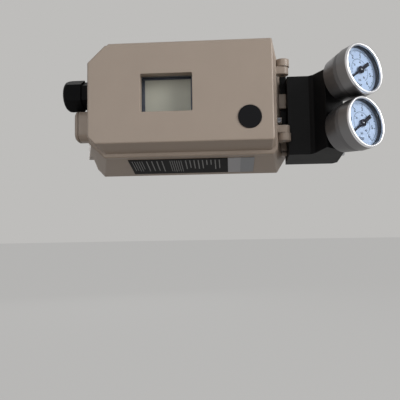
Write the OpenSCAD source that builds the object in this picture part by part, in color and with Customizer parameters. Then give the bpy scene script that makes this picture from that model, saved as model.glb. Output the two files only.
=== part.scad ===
// Electropneumatic valve positioner with a hinged front cover, a cable gland,
// a connecting block with two pressure gauges and a travel lever behind.
// X runs to the right, Z up along the valve stem, Y from the front to the rear.
// The rear mounting face lies in the plane Y = 0, the cover faces -Y. Millimetres.

/* [Housing] */
// width of the flat front of the cover
cover_w = 150; // [146:1:156]
// height of the flat front of the cover
cover_h = 81; // [79:1:84]
// depth of the hinged cover, front face to split line
cover_depth = 26; // [25:0.5:28]
// depth of the base behind the split line
base_depth = 44; // [42:1:50]
// how far the cover's rim stands out past the front face, left and right
rim_side = 4; // [3.5:0.5:5]
// how far the cover's rim stands out past the front face, top and bottom
rim_top = 8.5; // [8:0.5:10]
// widening of the base from the split line to the rear, left side
flare_left = 13; // [12:0.5:15]
// widening of the base from the split line to the rear, right side
flare_right = 11; // [9:0.5:12]
// widening of the base from the split line to the rear, top and bottom
flare_top = 9.5; // [8:0.5:11]
// wall of the cover
cover_wall = 3; // [2.5:0.25:3.5]
// wall of the base
base_wall = 5; // [4.5:0.25:6]

/* [Window and badge] */
// width of the window opening
window_w = 42; // [40:1:44]
// height of the window opening
window_h = 31; // [29:1:33]
// depth of the window well from the front face to the pane
window_well = 8; // [7:0.5:9]
// diameter of the round badge
badge_d = 18.6; // [16:0.2:20]

/* [Gauges] */
// outer diameter of the gauge bezel
gauge_d = 41; // [39.5:0.25:41.25]
// length of a gauge from the rear of its case to the bezel front
gauge_length = 27; // [26:0.5:29]
// turn of the gauges to the right of straight ahead
gauge_turn = 36; // [33:0.5:38]
// tilt of the gauges upwards
gauge_rise = 6; // [4:0.5:7]
// distance between the two gauge axes
gauge_pitch = 42; // [41.75:0.25:44]

/* [Connecting block] */
// height of the connecting block
block_h = 67; // [65:1:70]
// width of the connecting block
block_w = 45; // [44:1:47]
// thickness of its flat part, front to rear
block_t = 28; // [27:1:32]

/* [Entries and travel lever] */
// width across the flats of the cable gland's nut
gland_flats = 25; // [24:0.5:26]
// bore of the gland's rubber seal
gland_bore = 10; // [8:0.5:11]
// distance from the lever shaft to the follower pin
lever_radius = 50; // [44:1:55]
// diameter of the follower pin
follower_d = 6; // [5:0.5:7]

/* [Output] */
// piece that is drawn

/* [Hidden] */
$fn = 48;
// running fit of shafts and pins, on the radius
fit = 0.04;
// room between pieces that move past each other
gap = 0.3;
// seat of a piece in its pocket, on each side
seat = 0.05;
// overlap that keeps joined solids one solid
merge = 0.5;
// how far a cut runs past the face that it opens
past = 1;

// depth counted from the front face becomes a place on Y
total_depth = cover_depth + base_depth;
function at_depth(d) = d - total_depth;

// half sizes of the front face, the rim at the split line and the rear
front_x = cover_w / 2;
front_z = cover_h / 2;
rim_x = front_x + rim_side;
rim_z = front_z + rim_top;
rear_left = rim_x + flare_left;
rear_right = rim_x + flare_right;
rear_z = rim_z + flare_top;
rear_band = 3;
skirt_depth = 18;
skirt_x = front_x + rim_side / 2;
skirt_z = front_z + rim_top - 3.5;
soft_edge = 1.2;
outline_round = 1.5;

// cut corners of the outlines, as width and height: top left, top right, lower right, lower left
front_corners = [[14.5, 14], [1.5, 1.5], [1.5, 1.5], [6, 6]];
rim_corners = [[17, 17], [3, 17], [3.5, 4.5], [13.5, 13]];
rear_corners = [[15, 16], [13, 30], [8, 13], [15, 16]];

// base cavity and its rim seal
rim_land = 6;
cavity_end = total_depth - base_wall;
cavity_inset = 4;
seal_w = 2.4;
seal_depth = 2.5;
// step in the lower left and upper left of the base beside the cable entries
step_x = -rim_x - 4.5;
step_z = 42;
step_cut = 40;

// hinge on the right side: knuckles of the cover run between the base's larger lugs
hinge_x = rim_x + 6;
hinge_y = at_depth(cover_depth);
hinge_r = 4.8;
lug_r = 5.6;
lug_foot = 10;
pin_r = 1.5;
knuckle_h = 6.2;
hinge_mid = -2.7;
knuckle_inner = 21.7;
knuckle_outer = knuckle_inner + knuckle_h + gap;
function both_ends(inner) = [hinge_mid + inner, hinge_mid - inner - knuckle_h];

// window and badge
window_x = -10.8;
window_z = 0.3;
window_round = 1;
pane_t = 2.5;
pane_border = 3;
pane_round = 1.4;
pane_w = window_w + 2 * pane_border;
pane_h = window_h + 2 * pane_border;
seal_t = 0.8;
well_wall = 3;
retainer_t = 1.2;
retainer_border = 6;
retainer_screw_r = 1;
badge_x = front_x - 19.3;
badge_z = -front_z + 19;
badge_t = 1.2;
badge_sunk = 0.6;

// operating panel under the cover, with the board behind it
panel_front = at_depth(cover_depth + 3);
panel_t = 2.5;
panel_rear = panel_front + panel_t;
panel_x = rim_x - rim_land - 1;
panel_z = rim_z - rim_land - 1;
board_front = panel_rear + 4.5;
board_t = 1.6;
board_x = 48;
board_z = 34;
stud_r = 3;
stud_x = board_x - 6;
stud_z = board_z - 4;
post_x = panel_x - 18;
post_z = panel_z - 6;
post_r = 4.5;
panel_screw_r = 1.25;
panel_screw_l = 9;

// display behind the window
display_front = at_depth(13.5);
display_border = 9;
screen_border = 3;
screen_sunk = 0.4;
screen_t = 1.6;

// controls on the panel
knob_x = 38;
knob_z = 13;
knob_front = at_depth(16);
knob_skirt = at_depth(24);
knob_rear = at_depth(27);
knob_r = 8;
knob_skirt_r = 9;
grip_r = 0.9;
grip_count = 12;
encoder_r = 3;
encoder_w = 13;
button_z = -15;
button_r = 2.5;
button_flange_r = 3.6;
control_front = panel_front - 2.5;
flange_t = 1.7;
switch_x = 60;
switch_w = 4;
switch_h = 4;
switch_travel = 5;
switch_low = knob_z - 4.5;
restrictor_r = 6;
restrictor_stem_r = 2;
restrictor_handle = 9;

// terminal block on the panel's left
terminal_x = -61;
terminal_w = 12;
terminal_front = at_depth(20);
terminal_count = 6;
terminal_pitch = 7;
terminal_low = -14;
terminal_screw_r = 1.2;
function terminal_z(i) = terminal_low + (i + 0.5) * terminal_pitch;

// air pieces behind the board
manifold_t = 4;
manifold_w = 70;
manifold_h = 76;
manifold_x = -10;
manifold_front = at_depth(cavity_end) - manifold_t;
air_front = board_front + board_t + 6.4;
air_nose = board_front + board_t + 2.4;
converter_r = 12;
converter_x = -12;
converter_z = 20;
relay_w = 44;
relay_h = 26;
relay_x = -18;
relay_z = -19;
relay_nose_r = 9;
regulator_r = 7;
regulator_x = 14;
regulator_z = 24;

// quarter-turn lock in the cover's left wall and its keeper on the panel
lock_z = -26;
lock_axis_y = at_depth(17);
lock_r = 4;
lock_boss_r = 6.5;
lock_outer_x = -skirt_x + 0.4;
lock_inner_x = -skirt_x + 8;
tongue_t = 2.5;
tongue_l = 8.5;
tongue_half = 2.5;
keeper_w = 4.5;
keeper_front = at_depth(11.5);
keeper_t = 2.7;
keeper_post = 2.5;
keeper_reach = 7.5;

// cable entry on the left: pad with a cap beside it, gland
pad_r = 7;
pad_low = -29.5;
pad_high = -2;
pad_front = 38;
pad_rear = 58;
pad_out = 14.5;
pad_cap_t = 3;
pad_cap_inset = 1.6;
pad_seam = 0.7;
pad_seam_depth = 0.9;
gland_z = 12;
gland_y = at_depth(45);
gland_seat_x = -rim_x - 5;
gland_spot_r = 15.5;
gland_boss_r = 15;
gland_thread_r = 9.25;
gland_body_l = 6;
gland_body_flats = gland_flats - 3;
gland_neck_r = gland_flats / 2 - 3;
gland_neck_l = 8;
gland_nut_l = 17;
gland_nut_r = gland_flats / 2 / cos(30);
gland_dome_r = gland_nut_r / 2 - 0.3;
gland_nut_x = gland_seat_x - gland_body_l;
gland_hole_r = gland_bore / 2;
gland_seal_wall = 2;
gland_seal_l = gland_nut_l - 1;

// earth terminal on the right wall, in a spot face
earth_x = rim_x + 2.8;
earth_y = at_depth(36);
earth_z = -17.3;
earth_r = 1.5;
earth_head_r = 2.2;
earth_head_h = 1.8;
earth_l = 6;
earth_spot_r = 2.8;
earth_pad = 2.6;

// plate on the sloping underside of the base
plate_left = -47.5;
plate_right = 60;
plate_front = 2.3;
plate_l = 33.5;
plate_t = 0.6;
plate_tilt = atan2(flare_top, base_depth - rear_band);

// connecting block: flat front, hollow flank, slanted face for the gauges, underside that falls to the rear
block_x = rim_x + 10;
block_top = 18.9;
block_mid = block_top - block_h / 2;
block_low = block_top - block_h;
block_front = at_depth(30);
block_rear = block_front + block_t;
block_end = block_x + block_w;
block_drop = 4.4;
block_end_cut = 3.5;
flank_x = block_x + 18;
flank_bend = [3.5, 3];
crest_x = block_x + 28.5;
seat_depth = 47;
rib_depth = 41;
rib_low = -5.5;
rib_high = 7;
// shoulders of the block that close the corner to the base above and below the rib
shoulder_depth = 45;
shoulder_low = -24;
shoulder_top = 24;
function wall_x(d) = rim_x + flare_right * (d - cover_depth) / (base_depth - rear_band);
port_r = 5.9;
port_l = 16;
port_x = block_x + 23;
port_zs = [block_mid + 15, block_mid - 15];
duct_r = 2.5;
duct_y = at_depth(50);
o_ring_r = 4.6;
o_ring_t = 1.6;
bolt_r = 3;
bolt_head_r = 4.8;
bolt_head_h = 5;
bolt_key_r = 2.9;
bolt_zs = [block_top - 6, block_low + 6];
bolt_reach = 10;

// gauges, along their own axis from the connecting block's face
socket_x = block_x + 38;
socket_y = at_depth(19.5);
socket_l = 8;
gauge_mid = -11.5;
gauge_zs = [gauge_mid + gauge_pitch / 2, gauge_mid - gauge_pitch / 2];
stem_l = 4;
stem_r = 4.9;
gauge_r = gauge_d / 2;
gauge_top = stem_l + gauge_length;
case_r = gauge_r - 0.8;
case_wall = 1.2;
case_rear_r = case_r - 2.1;
case_taper = 12;
case_inner_r = case_r - case_wall;
case_front = gauge_top - 3.4;
bezel_l = 11;
lip_w = 2;
lip_h = 1.7;
lens_t = 1.5;
lens_border = 0.4;
dial_t = 0.6;
dial_at = gauge_top - 6.4;
pointer_t = 0.6;
pointer_at = gauge_top - 4.6;
hub_r = 2.9;
tip_l = 13.4;
tail_l = 11.2;
arbor_r = 0.7;
// place on the dial where the pointer rests, from the right, anticlockwise
pointer_zero = 214;
pinion_teeth = 10;
sector_ratio = 5;
sector_teeth = 11;
tooth_pitch_r = 1.6;
sector_pitch_r = tooth_pitch_r * sector_ratio;
tooth_h = 0.28;
tooth_w = 0.3;
root_gap = 0.1;
sector_pivot = tooth_pitch_r + sector_pitch_r + root_gap;
sector_pin_r = 0.7;
sector_boss_r = 2.2;
sector_t = 1.4;
pinion_t = 2;
sector_at = dial_at - 5.4;
floor_at = stem_l + case_wall;
spring_r = 13.5;
spring_tube_r = 1.6;
spring_at = stem_l + 7;
bridge_t = 3;

// travel lever behind
shaft_x = 42;
shaft_r = 4;
shaft_end_r = 3;
shaft_collar_r = 7;
shaft_boss_r = 12;
bush_r = 6;
bush_front = at_depth(55);
collar_front = at_depth(48);
collar_rear = at_depth(53);
lever_y = 5;
lever_t = 3;
lever_w = 11;
lever_head_r = 9;
lever_tail = 8;
lever_nut_flats = 10;
nut_h = 4;
follower_r = follower_d / 2;
follower_l = 24;
follower_stud_r = 2;
follower_nut_flats = 7;
follower_nut_h = 3.5;
follower_x = shaft_x - lever_radius;

// rear mounting holes
mount_x = 55;
mount_z = 30;
mount_r = 2.5;
mount_l = 12;
mount_boss_r = 7;

// shared shapes

// a sketch of X and Z drawn out along Y from its front
module slab(front, thick) {
    translate([0, front + thick, 0])
        rotate([90, 0, 0])
            linear_extrude(thick) children();
}

// a round bar along Y
module bar_y(r, y0, y1, x = 0, z = 0) {
    translate([x, y0, z]) rotate([-90, 0, 0]) cylinder(r = r, h = y1 - y0);
}

// a round bar along X
module bar_x(r, x0, x1, y, z) {
    translate([x0, y, z]) rotate([0, 90, 0]) cylinder(r = r, h = x1 - x0);
}

// a block between two corners
module block(low, high) {
    translate(low) cube(high - low);
}

// a six-sided bar along Y, given by the width across its flats
module hex_y(flats, y0, y1, x) {
    translate([x, y0, 0]) rotate([-90, 0, 0]) cylinder(r = flats / 2 / cos(30), h = y1 - y0, $fn = 6);
}

// children at four places, mirrored left and right and up and down about a centre
module at_corners(x, z, centre_x = 0, centre_z = 0) {
    for (i = [-1, 1], j = [-1, 1])
        translate([centre_x + i * x, 0, centre_z + j * z]) children();
}

// rectangle with exact round corners, centred on a point
module soft_square(w, h, r, x = 0, z = 0) {
    translate([x, z]) {
        square([w - 2 * r, h], center = true);
        square([w, h - 2 * r], center = true);
        for (i = [-1, 1], j = [-1, 1])
            translate([i * (w / 2 - r), j * (h / 2 - r)]) circle(r);
    }
}

// outline with cut corners: left, right and half height, then the cuts
module cut_outline(left, right, half, cuts, inset = 0) {
    offset(r = outline_round, $fn = 24)
        offset(delta = -outline_round - inset)
            polygon([
                [-left, half - cuts[0][1]], [-left + cuts[0][0], half],
                [right - cuts[1][0], half], [right, half - cuts[1][1]],
                [right, -half + cuts[2][1]], [right - cuts[2][0], -half],
                [-left + cuts[3][0], -half], [-left, -half + cuts[3][1]]]);
}

module front_outline(inset = 0) {
    cut_outline(front_x, front_x, front_z, front_corners, inset);
}

module skirt_outline(inset = 0) {
    cut_outline(skirt_x, skirt_x, skirt_z, rim_corners, inset);
}

module rim_outline(inset = 0) {
    cut_outline(rim_x, rim_x, rim_z, rim_corners, inset);
}

module rear_outline(inset = 0) {
    cut_outline(rear_left, rear_right, rear_z, rear_corners, inset);
}

// ring that follows the rim, in the middle of the sealing land
module rim_ring(w) {
    difference() {
        rim_outline((rim_land - w) / 2);
        rim_outline((rim_land + w) / 2);
    }
}

// thin layer of an outline at a depth, used to draw flared bodies
layer = 0.2;
module layer_at(d) {
    slab(at_depth(d), layer) children();
}

// screw with a slotted round head, head toward -Y, underside of the head on y
slot_half = 0.4;
module slot_screw_y(r, head_r, head_h, length, x, y, z) {
    difference() {
        union() {
            bar_y(head_r, y - head_h, y, x, z);
            bar_y(r, y - merge, y + length, x, z);
        }
        block([x - head_r - past, y - head_h - past, z - slot_half],
            [x + head_r + past, y - head_h / 2, z + slot_half]);
    }
}

// base and what is fixed to it

module base_body() {
    rear_round = 0.8;
    hull() {
        layer_at(cover_depth) rim_outline();
        layer_at(total_depth - rear_band) rear_outline();
        layer_at(total_depth - layer) rear_outline(rear_round);
    }
}

module base_cavity() {
    hull() {
        layer_at(cover_depth - merge) rim_outline(rim_land);
        layer_at(cover_depth + past) rim_outline(rim_land);
        layer_at(cavity_end - layer) rear_outline(base_wall + cavity_inset);
    }
}

// lugs of the base stand behind the hinge axis and reach the base's right wall
module base_lug(z) {
    top = z + knuckle_h;
    translate([hinge_x, hinge_y, z]) cylinder(r = lug_r, h = knuckle_h);
    block([rim_x - past, hinge_y + gap, z], [hinge_x, hinge_y + lug_r, top]);
    block([rim_x - 3 * past, hinge_y + lug_r - past, z], [hinge_x - merge, hinge_y + lug_foot, top]);
}

// slice of the rounded pad on the left wall, between two places on X
module pad_slice(x0, x1, inset = 0) {
    translate([x0, at_depth((pad_front + pad_rear) / 2), (pad_low + pad_high) / 2])
        rotate([90, 0, 90])
            linear_extrude(x1 - x0)
                soft_square(pad_rear - pad_front - 2 * inset, pad_high - pad_low - 2 * inset, pad_r - inset);
}

// rounded pad with a lid and a seam, on the left wall beside the gland
module entry_pad() {
    wall = -rim_x - pad_out;
    lid = wall - pad_seam;
    pad_slice(wall, -rim_x);
    pad_slice(lid - merge, wall + merge, pad_seam_depth);
    hull() {
        pad_slice(lid - pad_cap_t / 2, lid);
        pad_slice(lid - pad_cap_t, lid, pad_cap_inset);
    }
}

// seats of the connecting block, rib above the upper one and pad of the earth terminal
module bracket_pads() {
    edge = 2;
    root_x = rim_x - past;
    seat_front = at_depth(seat_depth);
    block([root_x, seat_front, block_low + edge], [block_x, block_rear, shoulder_low - gap]);
    block([root_x, seat_front, rib_low], [block_x, block_rear, rib_high]);
    block([root_x, at_depth(rib_depth), rib_low], [block_x - seat, seat_front + past, rib_high]);
    block([root_x, earth_y, earth_z - earth_pad],
        [earth_x + earth_pad, at_depth(shoulder_depth - merge), earth_z + earth_pad]);
}

// bosses inside the base, kept within its outer shape
module base_bosses() {
    boss_rear = -past;
    intersection() {
        base_body();
        union() {
            bar_y(shaft_boss_r, bush_front + past, boss_rear, shaft_x, 0);
            at_corners(mount_x, mount_z) bar_y(mount_boss_r, -mount_l - past, boss_rear);
            at_corners(post_x, post_z) bar_y(post_r, panel_rear, boss_rear);
            bar_x(gland_boss_r, gland_seat_x, -rim_x + 8, gland_y, gland_z);
        }
    }
}

module housing_base() color("#b3a793") {
    difference() {
        union() {
            difference() {
                base_body();
                base_cavity();
                slab(hinge_y - merge, seal_depth + merge) rim_ring(seal_w);
                for (z = [step_z, -step_z - step_cut])
                    translate([step_x - step_cut, hinge_y - past, z])
                        cube([step_cut, base_depth + 2 * past, step_cut]);
            }
            for (z = both_ends(knuckle_outer))
                base_lug(z);
            entry_pad();
            bracket_pads();
            base_bosses();
        }
        for (z = both_ends(knuckle_outer))
            translate([hinge_x, hinge_y, z - past]) cylinder(r = pin_r, h = knuckle_h + 2 * past);
        bar_x(gland_spot_r, -rear_left - pad_out, gland_seat_x, gland_y, gland_z);
        bar_x(gland_thread_r, gland_seat_x - past, -rim_x + 15, gland_y, gland_z);
        bar_y(bush_r, bush_front, past, shaft_x, 0);
        at_corners(mount_x, mount_z) bar_y(mount_r, -mount_l, past);
        at_corners(post_x, post_z) bar_y(panel_screw_r, panel_front, panel_front + panel_screw_l + 3);
        for (z = port_zs)
            bar_x(duct_r, rim_x - 12, block_x + past, duct_y, z);
        for (z = bolt_zs)
            bar_x(bolt_r, block_x - bolt_reach - 2, block_x + past, duct_y, z);
        bar_y(earth_spot_r, hinge_y, earth_y, earth_x, earth_z);
        bar_y(earth_r + seat, earth_y - past, earth_y + earth_l + 2, earth_x, earth_z);
    }
}

module cover_gasket() color("#2b2b2b") {
    slab(hinge_y, seal_depth) rim_ring(seal_w - 2 * seat);
}

module rating_plate() color("#3a3a3c") {
    translate([0, hinge_y, -rim_z])
        rotate([-plate_tilt, 0, 0])
            block([plate_left, plate_front, -plate_t], [plate_right, plate_front + plate_l, 0]);
}

// cable gland: body in the wall, rubber seal, nut with a rounded end
module gland_body() color("#1c1c1e") {
    inner_x = -rim_x + 4;
    difference() {
        union() {
            bar_x(gland_thread_r - seat, gland_seat_x, inner_x, gland_y, gland_z);
            translate([gland_nut_x, gland_y, gland_z])
                rotate([0, 90, 0]) cylinder(r = gland_body_flats / 2 / cos(30), h = gland_body_l, $fn = 6);
            bar_x(gland_neck_r, gland_nut_x - gland_neck_l, gland_seat_x - past, gland_y, gland_z);
        }
        bar_x(gland_hole_r + merge, gland_nut_x - gland_nut_l, inner_x + past, gland_y, gland_z);
        bar_x(gland_hole_r + gland_seal_wall, gland_nut_x - gland_nut_l, gland_nut_x, gland_y, gland_z);
    }
}

module gland_seal() color("#101010") {
    difference() {
        bar_x(gland_hole_r + gland_seal_wall - seat, gland_nut_x - gland_seal_l, gland_nut_x, gland_y, gland_z);
        bar_x(gland_hole_r, gland_nut_x - gland_nut_l, gland_nut_x + past, gland_y, gland_z);
    }
}

module gland_nut() color("#1c1c1e") {
    round_from = gland_nut_l - gland_dome_r;
    flat_r = gland_nut_r - gland_dome_r;
    difference() {
        translate([gland_nut_x, gland_y, gland_z])
            rotate([0, -90, 0])
                intersection() {
                    cylinder(r = gland_nut_r, h = gland_nut_l, $fn = 6);
                    rotate_extrude() {
                        square([gland_nut_r, round_from]);
                        square([flat_r, gland_nut_l]);
                        translate([flat_r, round_from]) circle(gland_dome_r);
                    }
                }
        bar_x(gland_neck_r + seat, gland_nut_x - gland_neck_l - seat, gland_nut_x + past, gland_y, gland_z);
        bar_x(gland_hole_r + gland_seal_wall, gland_nut_x - gland_seal_l, gland_nut_x, gland_y, gland_z);
        bar_x(gland_hole_r + past, gland_nut_x - gland_nut_l - past, gland_nut_x, gland_y, gland_z);
    }
}

module hinge_pins() color("#b9bcc0") {
    pin_l = 2 * knuckle_h + gap;
    for (z = [hinge_mid + knuckle_inner, hinge_mid - knuckle_inner - pin_l])
        translate([hinge_x, hinge_y, z]) cylinder(r = pin_r, h = pin_l);
}

module earth_screw() color("#c9ccd0") {
    slot_screw_y(earth_r, earth_head_r, earth_head_h, earth_l, earth_x, earth_y, earth_z);
}

// pieces under the cover

module operating_panel() color("#8d9096") {
    front = panel_front - past;
    rear = panel_rear + past;
    slot_x = switch_w / 2 + gap;
    wire_notch = 4;
    difference() {
        union() {
            slab(panel_front, panel_t) cut_outline(panel_x, panel_x, panel_z, rim_corners);
            at_corners(stud_x, stud_z) bar_y(stud_r, panel_rear - merge, board_front);
        }
        at_corners(post_x, post_z) bar_y(panel_screw_r + gap, front, rear);
        bar_y(encoder_r + gap, front, rear, knob_x, knob_z);
        bar_y(button_r + gap, front, rear, knob_x, button_z);
        bar_y(restrictor_stem_r + fit, front, rear, switch_x, button_z);
        block([switch_x - slot_x, front, switch_low - merge],
            [switch_x + slot_x, rear, switch_low + switch_h + switch_travel + merge]);
        block([-panel_x - past, front, gland_z - 10], [-panel_x + wire_notch, rear, gland_z + 10]);
    }
}

module panel_screws() color("#c9ccd0") {
    head_r = 2.8;
    head_h = 1.8;
    at_corners(post_x, post_z)
        slot_screw_y(panel_screw_r, head_r, head_h, panel_screw_l, 0, panel_front, 0);
}

module display_case() color("#26282b") {
    difference() {
        slab(display_front, panel_front - display_front)
            soft_square(window_w + display_border, window_h + display_border, 2, window_x, window_z);
        slab(display_front - past, past + screen_sunk + screen_t)
            soft_square(window_w + screen_border, window_h + screen_border, window_round, window_x, window_z);
    }
}

module display_glass() color("#8f968a") {
    border = screen_border - 2 * seat;
    slab(display_front + screen_sunk, screen_t)
        soft_square(window_w + border, window_h + border, window_round, window_x, window_z);
}

module rotary_encoder() color("#3b3d41") {
    difference() {
        slab(panel_rear, board_front - panel_rear)
            soft_square(encoder_w, encoder_w, 1, knob_x, knob_z);
        bar_y(encoder_r + fit, panel_front, board_front - merge, knob_x, knob_z);
    }
}

module encoder_shaft() color("#c2c5c9") {
    bar_y(encoder_r, knob_front + past, board_front - 2, knob_x, knob_z);
}

module rotary_knob() color("#2c3f66") {
    difference() {
        union() {
            bar_y(knob_r, knob_front, knob_skirt, knob_x, knob_z);
            bar_y(knob_skirt_r, knob_skirt - merge, knob_rear, knob_x, knob_z);
        }
        bar_y(encoder_r + fit, knob_front + past - gap, knob_rear + past, knob_x, knob_z);
        for (i = [0:grip_count - 1])
            translate([knob_x, 0, knob_z])
                rotate([0, i * 360 / grip_count, 0])
                    bar_y(grip_r, knob_front - past, knob_skirt - merge, knob_r + grip_r / 2, 0);
    }
}

module init_button() color("#b33a2e") {
    bar_y(button_r, control_front, panel_rear + past, knob_x, button_z);
    bar_y(button_flange_r, panel_rear + gap, panel_rear + gap + flange_t, knob_x, button_z);
}

module mode_switch() color("#d9d6cc") {
    flange = 1.5;
    block([switch_x - switch_w / 2, control_front, switch_low],
        [switch_x + switch_w / 2, panel_rear + past, switch_low + switch_h]);
    block([switch_x - switch_w / 2 - flange, panel_rear + gap, switch_low - flange],
        [switch_x + switch_w / 2 + flange, panel_rear + gap + flange_t, switch_low + switch_h + flange]);
}

// turning disc with a handle and a mark line
module restrictor() color("#c8a24a") {
    handle_half = 1.5;
    handle_front = panel_front - 5;
    mark_z = button_z - 3;
    difference() {
        union() {
            bar_y(restrictor_r, control_front, panel_front - gap, switch_x, button_z);
            bar_y(restrictor_stem_r, panel_front - past, panel_rear + past, switch_x, button_z);
            block([switch_x - handle_half, handle_front, button_z],
                [switch_x + handle_half, control_front + merge, button_z + restrictor_handle]);
        }
        block([switch_x - restrictor_r - past, control_front - past, mark_z],
            [switch_x + restrictor_r + past, control_front + merge, mark_z + past]);
    }
}

module terminal_block() color("#2f5d3f") {
    screw_x = terminal_x + 1;
    seat_y = terminal_front + 2;
    head_hole_r = 2.2;
    wire_r = 1.7;
    half = terminal_w / 2;
    difference() {
        block([terminal_x - half, terminal_front, terminal_low],
            [terminal_x + half, panel_front, terminal_low + terminal_count * terminal_pitch]);
        for (i = [0:terminal_count - 1]) {
            bar_y(head_hole_r, terminal_front - past, seat_y, screw_x, terminal_z(i));
            bar_y(terminal_screw_r, seat_y - past, seat_y + 5, screw_x, terminal_z(i));
            bar_x(wire_r, terminal_x - half - past, terminal_x - past, seat_y + 3, terminal_z(i));
        }
    }
}

module terminal_screws() color("#c9ccd0") {
    head_r = 2.1;
    head_h = 1.4;
    shank_l = 4;
    for (i = [0:terminal_count - 1])
        slot_screw_y(terminal_screw_r, head_r, head_h, shank_l,
            terminal_x + 1, terminal_front + 2, terminal_z(i));
}

// board with three packages on its rear
module circuit_board() color("#1f6b3a") {
    chip_w = 10;
    chip_t = 2.2;
    chip_z = 8;
    rear = board_front + board_t;
    slab(board_front, board_t) square([2 * board_x, 2 * board_z], center = true);
    for (x = [-30, -14, 4])
        block([x, rear - seat, chip_z], [x + chip_w, rear + chip_t, chip_z + chip_w]);
}

module manifold_plate() color("#aeb1b5") {
    slab(manifold_front, manifold_t) soft_square(manifold_w, manifold_h, 4, manifold_x, 0);
}

module ip_converter() color("#6e7278") {
    bar_y(converter_r, air_front, manifold_front, converter_x, converter_z);
    bar_y(converter_r - 4, air_nose, air_front + merge, converter_x, converter_z);
}

module booster_relay() color("#3f4246") {
    slab(air_front, manifold_front - air_front) soft_square(relay_w, relay_h, 3, relay_x, relay_z);
    bar_y(relay_nose_r, air_nose, air_front + merge, relay_x, relay_z);
}

module pressure_regulator() color("#9a9da1") {
    bar_y(regulator_r, air_front, manifold_front, regulator_x, regulator_z);
    bar_y(regulator_r - 3, air_nose, air_front + merge, regulator_x, regulator_z);
}

// keeper on the panel: a post with a finger that the lock's tongue turns behind
module lock_keeper() color("#b9bcc0") {
    low_x = lock_inner_x + 2 * gap;
    high_x = low_x + keeper_w;
    top_z = lock_z + tongue_half + gap + 9.2;
    block([low_x, keeper_front, top_z - keeper_post], [high_x, panel_front, top_z]);
    block([low_x, keeper_front, top_z - keeper_reach], [high_x, keeper_front + keeper_t, top_z - past]);
}

module cover_lock() color("#c2c5c9") {
    slot = 0.5;
    slot_depth = 1.6;
    difference() {
        union() {
            bar_x(lock_r, lock_outer_x, lock_inner_x, lock_axis_y, lock_z);
            block([lock_inner_x - merge, lock_axis_y - tongue_half, lock_z - tongue_half],
                [lock_inner_x + tongue_t, lock_axis_y + tongue_l, lock_z + tongue_half]);
        }
        block([-skirt_x - past, lock_axis_y - slot, lock_z - lock_r - past],
            [-skirt_x + slot_depth, lock_axis_y + slot, lock_z + lock_r + past]);
    }
}

// travel lever

module shaft_bush() color("#b08d4c") {
    difference() {
        bar_y(bush_r, bush_front, merge, shaft_x, 0);
        bar_y(shaft_r + fit, bush_front - past, past, shaft_x, 0);
    }
}

module travel_shaft() color("#c2c5c9") {
    bar_y(shaft_collar_r, collar_front, collar_rear, shaft_x, 0);
    bar_y(shaft_r, collar_rear - merge, lever_y, shaft_x, 0);
    bar_y(shaft_end_r, lever_y - merge, lever_y + lever_t + nut_h + 2, shaft_x, 0);
}

// lever with holes for three strokes
module travel_lever() color("#c2c5c9") {
    half = lever_w / 2;
    reach = lever_radius + lever_tail;
    slab(lever_y, lever_t)
        difference() {
            union() {
                translate([shaft_x, 0]) circle(lever_head_r);
                translate([shaft_x - reach, -half]) square([reach, lever_w]);
                translate([shaft_x - reach, 0]) circle(half);
            }
            translate([shaft_x, 0]) circle(shaft_end_r + seat);
            for (r = [lever_radius * 0.5, lever_radius * 0.7, lever_radius])
                translate([shaft_x - r, 0]) circle(follower_stud_r + seat);
        }
}

module lever_nut() color("#b9bcc0") {
    rear = lever_y + lever_t;
    difference() {
        hex_y(lever_nut_flats, rear, rear + nut_h, shaft_x);
        bar_y(shaft_end_r + seat, lever_y, rear + nut_h + past, shaft_x, 0);
    }
}

module follower_pin() color("#c9ccd0") {
    rear = lever_y + lever_t;
    bar_y(follower_r, rear, rear + follower_l, follower_x, 0);
    bar_y(follower_stud_r, lever_y - follower_nut_h - 0.7, rear + merge, follower_x, 0);
}

module follower_nut() color("#b9bcc0") {
    front = lever_y - follower_nut_h;
    difference() {
        hex_y(follower_nut_flats, front, lever_y, follower_x);
        bar_y(follower_stud_r + seat, front - past, lever_y + past, follower_x, 0);
    }
}

// connecting block

module to_gauge(z) {
    translate([socket_x, socket_y, z]) rotate([90 - gauge_rise, 0, gauge_turn]) children();
}

// plan of the block: flat front, bent flank up to a crest, slanted gauge face, cut rear corner
module block_plan() {
    face_slope = tan(gauge_turn);
    crest_y = socket_y - (socket_x - crest_x) * face_slope;
    end_y = socket_y + (block_end - socket_x) * face_slope;
    polygon([
        [block_x, block_front], [flank_x, block_front],
        [flank_x + flank_bend[0], block_front - flank_bend[1]],
        [crest_x, crest_y], [block_end, end_y],
        [block_end, block_rear - block_end_cut], [block_end - block_end_cut, block_rear],
        [block_x, block_rear]]);
}

// room under the block's sloping underside
module below_block() {
    room = 2 * block_w;
    translate([block_x - past, block_front, block_low])
        rotate([-atan2(block_drop, block_t), 0, 0])
            translate([0, -room / 2, -room]) cube([room, room, room]);
}

// plan of a shoulder: from the block back along the base's flared wall
module shoulder_plan() {
    rear_depth = block_rear - at_depth(0);
    polygon([
        [wall_x(shoulder_depth) + gap, at_depth(shoulder_depth)], [block_x + past, at_depth(shoulder_depth)],
        [block_x + past, block_rear], [wall_x(rear_depth) + gap, block_rear]]);
}

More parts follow.
